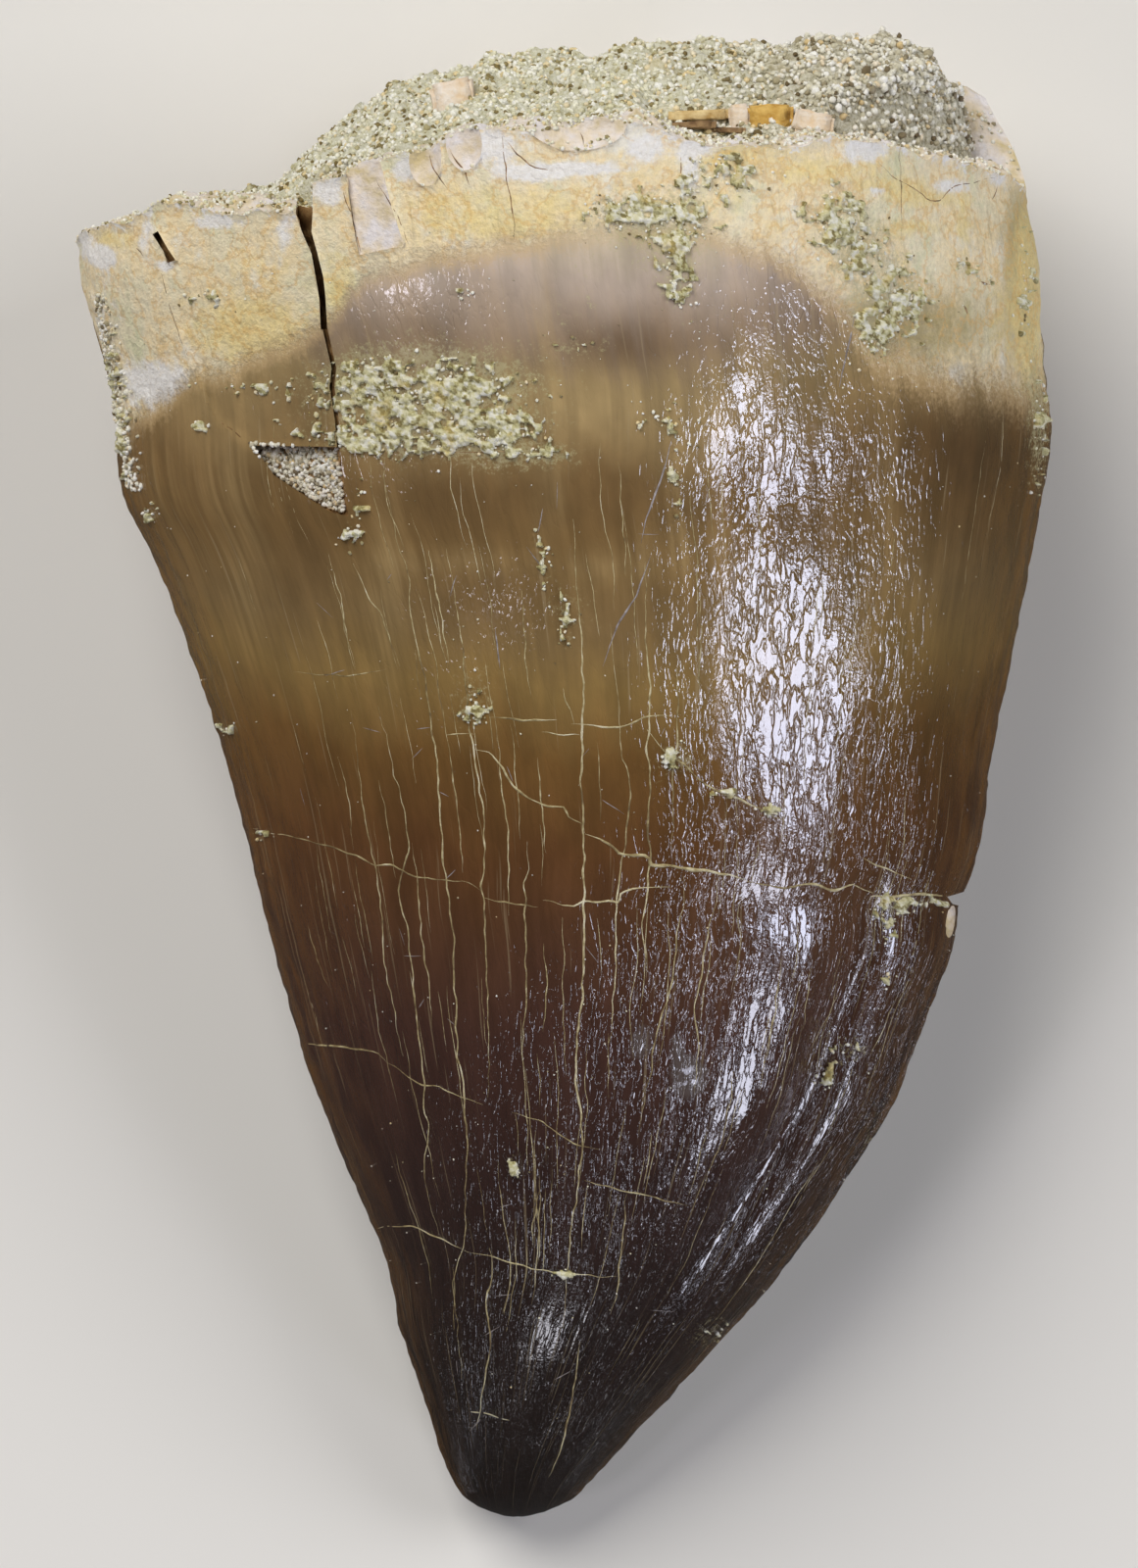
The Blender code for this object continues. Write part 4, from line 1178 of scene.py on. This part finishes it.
def dentine_color(s, place, fibre, grain):
    """Cream dentine with ochre stains, soft white patches and a white rim."""
    ripple = s.noise(place, 2.2, 4, 0.65)
    color = s.ramp(s.noise(place, (0.45, 0.35, 0.45), 5, 0.65),
                   [(0.34, (216, 213, 176)), (0.46, (234, 222, 190)), (0.56, (238, 218, 176)),
                    (0.66, (234, 228, 212))])
    shade = s.ruffled(s.attribute("shade"), ripple, 0.8)
    color = s.mix(color, rgb(170, 152, 100), s.span(shade, 0.2, 1.0, 0.0, 0.9))
    stain = s.ruffled(s.attribute("orange"), ripple, 1.4)
    color = s.mix(color, rgb(234, 212, 146), s.span(stain, 0.2, 1.0, 0.0, 0.8))
    color = s.mix(color, rgb(222, 172, 88), s.span(stain, 0.95, 1.4, 0.0, 0.7))
    vein = s.off_middle(s.noise(place, 0.7, 4, 0.6))
    color = s.mix(color, rgb(216, 172, 94), s.span(vein, 0.0, 0.04, 0.45, 0.0))
    color = s.tinted(color, grain, 0.3, 0.7, 0.90, 1.06)
    line = s.noise(fibre, (5.0, 5.0, 0.5), 3, 0.6)
    color = s.mix(color, rgb(160, 140, 100), s.span(line, 0.6, 0.7, 0.0, 0.25))
    rim = s.ruffled(s.attribute("rim"), ripple, 0.9)
    white = s.math("MAXIMUM", s.attribute("white"), s.span(rim, 0.75, 1.15, 0.0, 0.7))
    white = s.ruffled(white, ripple, 1.3)
    return s.mix(color, s.ramp(grain, [(0.3, (224, 219, 212)), (0.6, (238, 236, 234))]),
                 s.span(white, 0.35, 0.8, 0.0, 0.95))


def film_color(s, color, ripple):
    """Grey drops and bruises over the enamel, each with a pale middle."""
    film = s.ruffled(s.attribute("film"), ripple, 1.2)
    grey = s.multiply(s.span(film, 0.15, 0.6, 0.0, 0.6), s.span(s.attribute("film"), 0.05, 0.4))
    color = s.mix(color, rgb(98, 90, 86), grey)
    return s.mix(color, rgb(190, 188, 200), s.span(film, 0.95, 1.1, 0.0, 0.9))


def enamel_relief(s, fibre, place):
    """Height of the enamel's wrinkles in millimetres: long plateaus split by thin grooves."""
    height = s.multiply(s.noise(fibre, (1.8, 1.8, 0.5), 2, 0.5), 0.036)
    for across, along, depth in ((2.6, 0.65, 0.018), (4.6, 1.5, 0.008)):
        away = s.off_middle(s.noise(fibre, (across, across, along), 2, 0.5))
        height = s.add(height, s.span(away, 0.0, 0.05, 0.0, depth))
    height = s.add(height, s.multiply(s.noise(place, 9, 1, 0.5), 0.005))
    return s.multiply(height, s.span(s.attribute("wrinkled"), 0.0, 0.8, 0.3, 1.0))


def tooth_material():
    """Glossy banded enamel, and cream dentine where the enamel is gone."""
    s = Shader(CROWN_FINISHES[0])
    fibre, place = s.attribute("fibre", "Vector"), s.place()
    blotch = s.noise(fibre, (0.28, 0.28, 0.16), 4)
    streak = s.noise(fibre, (2.6, 2.6, 0.10), 3, 0.6)
    hair = s.noise(fibre, (7.0, 7.0, 0.18), 2, 0.5)
    grain = s.noise(place, 5.5, 4, 0.7)
    ripple = s.noise(place, 3, 4, 0.7)

    border = s.ruffled(s.ruffled(s.attribute("dentine"), streak, 0.4), grain, 0.5)
    fringe = s.multiply(s.span(border, 0.1, 0.45), s.span(blotch, 0.35, 0.6, 0.2, 0.7))
    color = s.mix(enamel_color(s, fibre, blotch, streak, hair), rgb(200, 172, 128), fringe)
    in_dentine = s.span(border, 0.3, 0.85)
    color = s.mix(color, dentine_color(s, place, fibre, grain), in_dentine)
    color = film_color(s, color, ripple)
    dust = s.ruffled(s.ruffled(s.attribute("dust"), ripple, 2.0), s.noise(place, 9, 3, 0.7), 2.0)
    dust = s.multiply(s.span(dust, 0.55, 1.2, 0.0, 0.6), s.span(s.attribute("dust"), 0.05, 0.4))
    color = s.mix(color, rgb(178, 170, 128), dust)

    matt = s.math("MAXIMUM", in_dentine, dust)
    rough = s.add(s.span(grain, 0.3, 0.7, 0.06, 0.14), s.multiply(matt, 0.42))
    lumps = s.multiply(s.noise(place, 3.4, 4, 0.65), 0.12)
    ridges = s.multiply(s.noise(fibre, (4.5, 4.5, 0.6), 3, 0.6), 0.06)
    bare = s.multiply(s.add(lumps, ridges), in_dentine)
    glossy = s.multiply(enamel_relief(s, fibre, place), s.math("SUBTRACT", 1.0, in_dentine))
    return s.finish(Base_Color=color, Roughness=rough, IOR=1.63, Normal=s.bump(s.add(glossy, bare), 1.0))


def clean_break_material():
    """Clean breaks: pale pinkish dentine with faint ripples."""
    s = Shader(CROWN_FINISHES[1])
    place = s.place()
    ripple = s.noise(place, 4, 4, 0.6)
    color = s.ramp(s.noise(place, 0.8, 4, 0.6),
                   [(0.38, (208, 190, 146)), (0.48, (226, 212, 192)), (0.62, (230, 224, 224))])
    color = s.tinted(color, ripple, 0.3, 0.7, 0.92, 1.04)
    return s.finish(Base_Color=color, Roughness=0.5, Normal=s.bump(ripple, 0.10))


def sediment_material():
    """Sandy sediment between the grains: pale and dusty, or, where it is washed, darker speckles that are
    partly painted shade.
    """
    s = Shader("sediment")
    place = s.place()
    patch, sand = s.noise(place, 0.35, 4), s.noise(place, 5, 5, 0.75)
    dusty = s.ramp(sand, [(0.34, (150, 136, 84)), (0.42, (208, 204, 172)), (0.55, (226, 224, 204)),
                          (0.7, (232, 231, 220))])
    dusty = s.mix(dusty, rgb(214, 196, 146), s.span(patch, 0.55, 0.7, 0.0, 0.4))
    # Washed sediment: its darkest speckles are partly its own colour and partly painted shade under and
    # between the grains
    shaded_gaps = s.ramp(sand, [(0.35, (120, 110, 86)), (0.5, (204, 197, 174)), (0.65, (232, 229, 218))])
    color = s.mix(dusty, shaded_gaps, s.attribute("grey"))
    return s.finish(Base_Color=color, Roughness=0.92, Normal=s.bump(sand, 0.15))


def grain_material():
    """Mixed grains: dusty yellow-green ones, and washed grey, white and brown ones."""
    s = Shader("sediment_grains")
    tone = s.attribute("tone")
    dusty = s.ramp(tone, [(0.0, (112, 96, 56)), (0.12, (158, 146, 102)), (0.24, (212, 208, 176)),
                          (0.5, (229, 227, 210)), (0.8, (237, 236, 229)), (0.96, (220, 202, 156))])
    clean = s.ramp(tone, [(0.0, (96, 80, 58)), (0.1, (166, 156, 132)), (0.3, (208, 202, 182)),
                          (0.6, (230, 227, 216)), (0.85, (240, 239, 236)), (0.98, (212, 186, 136))])
    color = s.mix(dusty, clean, s.attribute("grey"))
    return s.finish(Base_Color=s.tinted(color, s.noise(s.place(), 12), 0.3, 0.7, 0.85, 1.1), Roughness=0.6)


def crust_material():
    """Yellow-green sandy paste stuck to the enamel."""
    s = Shader("sediment_crust")
    place = s.place()
    sand, patch = s.noise(place, 9, 4, 0.7), s.noise(place, 1.1)
    color = s.ramp(s.ruffled(s.attribute("tone"), sand, 1.2),
                   [(0.05, (132, 120, 76)), (0.3, (192, 186, 138)), (0.6, (217, 212, 176)),
                    (0.9, (233, 231, 218))])
    color = s.mix(color, rgb(210, 184, 108), s.span(patch, 0.54, 0.72, 0.0, 0.5))
    return s.finish(Base_Color=color, Roughness=0.8, Normal=s.bump(sand, 0.08))


def filling_material():
    """Fine sediment in the cracks, from brown to pale."""
    s = Shader("crack_filling")
    place = s.place()
    speck = s.ruffled(s.noise(place, 3, 4), s.noise(place, 0.4), 1.2)
    color = s.ramp(speck, [(0.25, (112, 94, 62)), (0.45, (160, 144, 102)), (0.6, (196, 184, 144)),
                           (0.8, (220, 213, 186))])
    return s.finish(Base_Color=color, Roughness=0.85)


def speckled_material(name):
    """Stained breaks, broken dentine, painted crack shadow or scratches: one noise for colour and bump."""
    size, detail, coarse, stops, roughness, bump_mm = SPECKLED_LOOKS[name]
    s = Shader(name)
    speck = s.noise(s.place(), size, detail, coarse)
    looks = {"Base_Color": s.ramp(speck, stops), "Roughness": roughness}
    if bump_mm:
        looks["Normal"] = s.bump(speck, bump_mm)
    return s.finish(**looks)


def dress(piece, material=None):
    """Give a piece its slot, its body and its material; the crown has its materials already."""
    if material:
        piece.data.materials.append(material)
    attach(piece, "root")


# Stage


def make_camera():
    """Camera over the tooth, as in the photograph."""
    data = bpy.data.cameras.new("camera")
    data.sensor_width = SENSOR
    data.lens = SENSOR * (CAMERA_HEIGHT - PLANE) / (PHOTO_SIZE_PX[1] / PX_PER_MM)
    camera = bpy.data.objects.new("camera", data)
    camera.location = Vector((*AIM, CAMERA_HEIGHT)) * MM
    bpy.context.scene.collection.objects.link(camera)
    bpy.context.scene.camera = camera


def soft_light(name, azimuth, elevation, distance, size, radiance, color, kind):
    """Rectangular soft light that faces the tooth."""
    data = bpy.data.lights.new(name, "AREA")
    data.shape = "RECTANGLE"
    data.size, data.size_y = size
    data.energy = radiance * math.pi * size[0] * size[1]
    data.color = color
    light = bpy.data.objects.new(name, data)
    turn, lift = math.radians(azimuth), math.radians(elevation)
    way = Vector((math.cos(lift) * math.cos(turn), math.cos(lift) * math.sin(turn), math.sin(lift)))
    light.location = way * distance
    light.rotation_euler = way.to_track_quat("Z", "Y").to_euler()
    light.visible_glossy = kind != "fill"
    light.visible_diffuse = kind != "gleam"
    bpy.context.scene.collection.objects.link(light)


def make_stage():
    """Pale floor, soft lights and a dim surrounding."""
    bpy.ops.mesh.primitive_plane_add(size=FLOOR_SIZE, location=(0, 0, 0))
    floor = bpy.context.object
    floor.name = "floor"
    s = Shader("floor")
    floor.data.materials.append(s.finish(Base_Color=rgb(222, 220, 216), Roughness=0.9))
    floor.visible_glossy = False
    for light in LIGHTS:
        soft_light(*light)
    world = bpy.data.worlds.new("surrounding")
    world.use_nodes = True
    background = world.node_tree.nodes["Background"]
    background.inputs["Color"].default_value = (1.0, 1.0, 1.0, 1.0)
    background.inputs["Strength"].default_value = SURROUNDING_LIGHT
    bpy.context.scene.world = world
    bpy.context.scene.view_settings.view_transform = "Standard"


def main():
    """Build every piece, then the floor, the lights and the camera."""
    draw = np.random.default_rng(SEED)
    # Without a seed of its own, the noise that bends the cracks is different in each run
    noise.seed_set(SEED)
    tooth_material()
    clean_break_material()
    speckled_material(CROWN_FINISHES[2])
    crown = build_crown()
    dress(crown)
    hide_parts("tooth_crown")
    plug = build_plug()
    dress(plug, sediment_material())
    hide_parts("cavity_matrix")
    tree = surface_tree(crown)
    find = finder(tree)
    grains = grain_material()
    dress(plug_grains(plug, draw), grains)
    dress(ledge_grains(crown, draw), grains)
    dress(crust_grains(find, draw), grains)
    dress(crust_sheets(find), crust_material())
    for kind, piece in fragments(finder(surface_tree(plug))).items():
        dress(piece, speckled_material(f"{kind}_fragment"))
    dress(crack_fillings(find, tree, draw), filling_material())
    # The open cracks of the broken base, as painted shadow
    dress(dark_cracks(find, draw), speckled_material("dark_crack"))
    dress(scratches(find, draw), speckled_material("scratch"))
    make_stage()
    make_camera()


main()
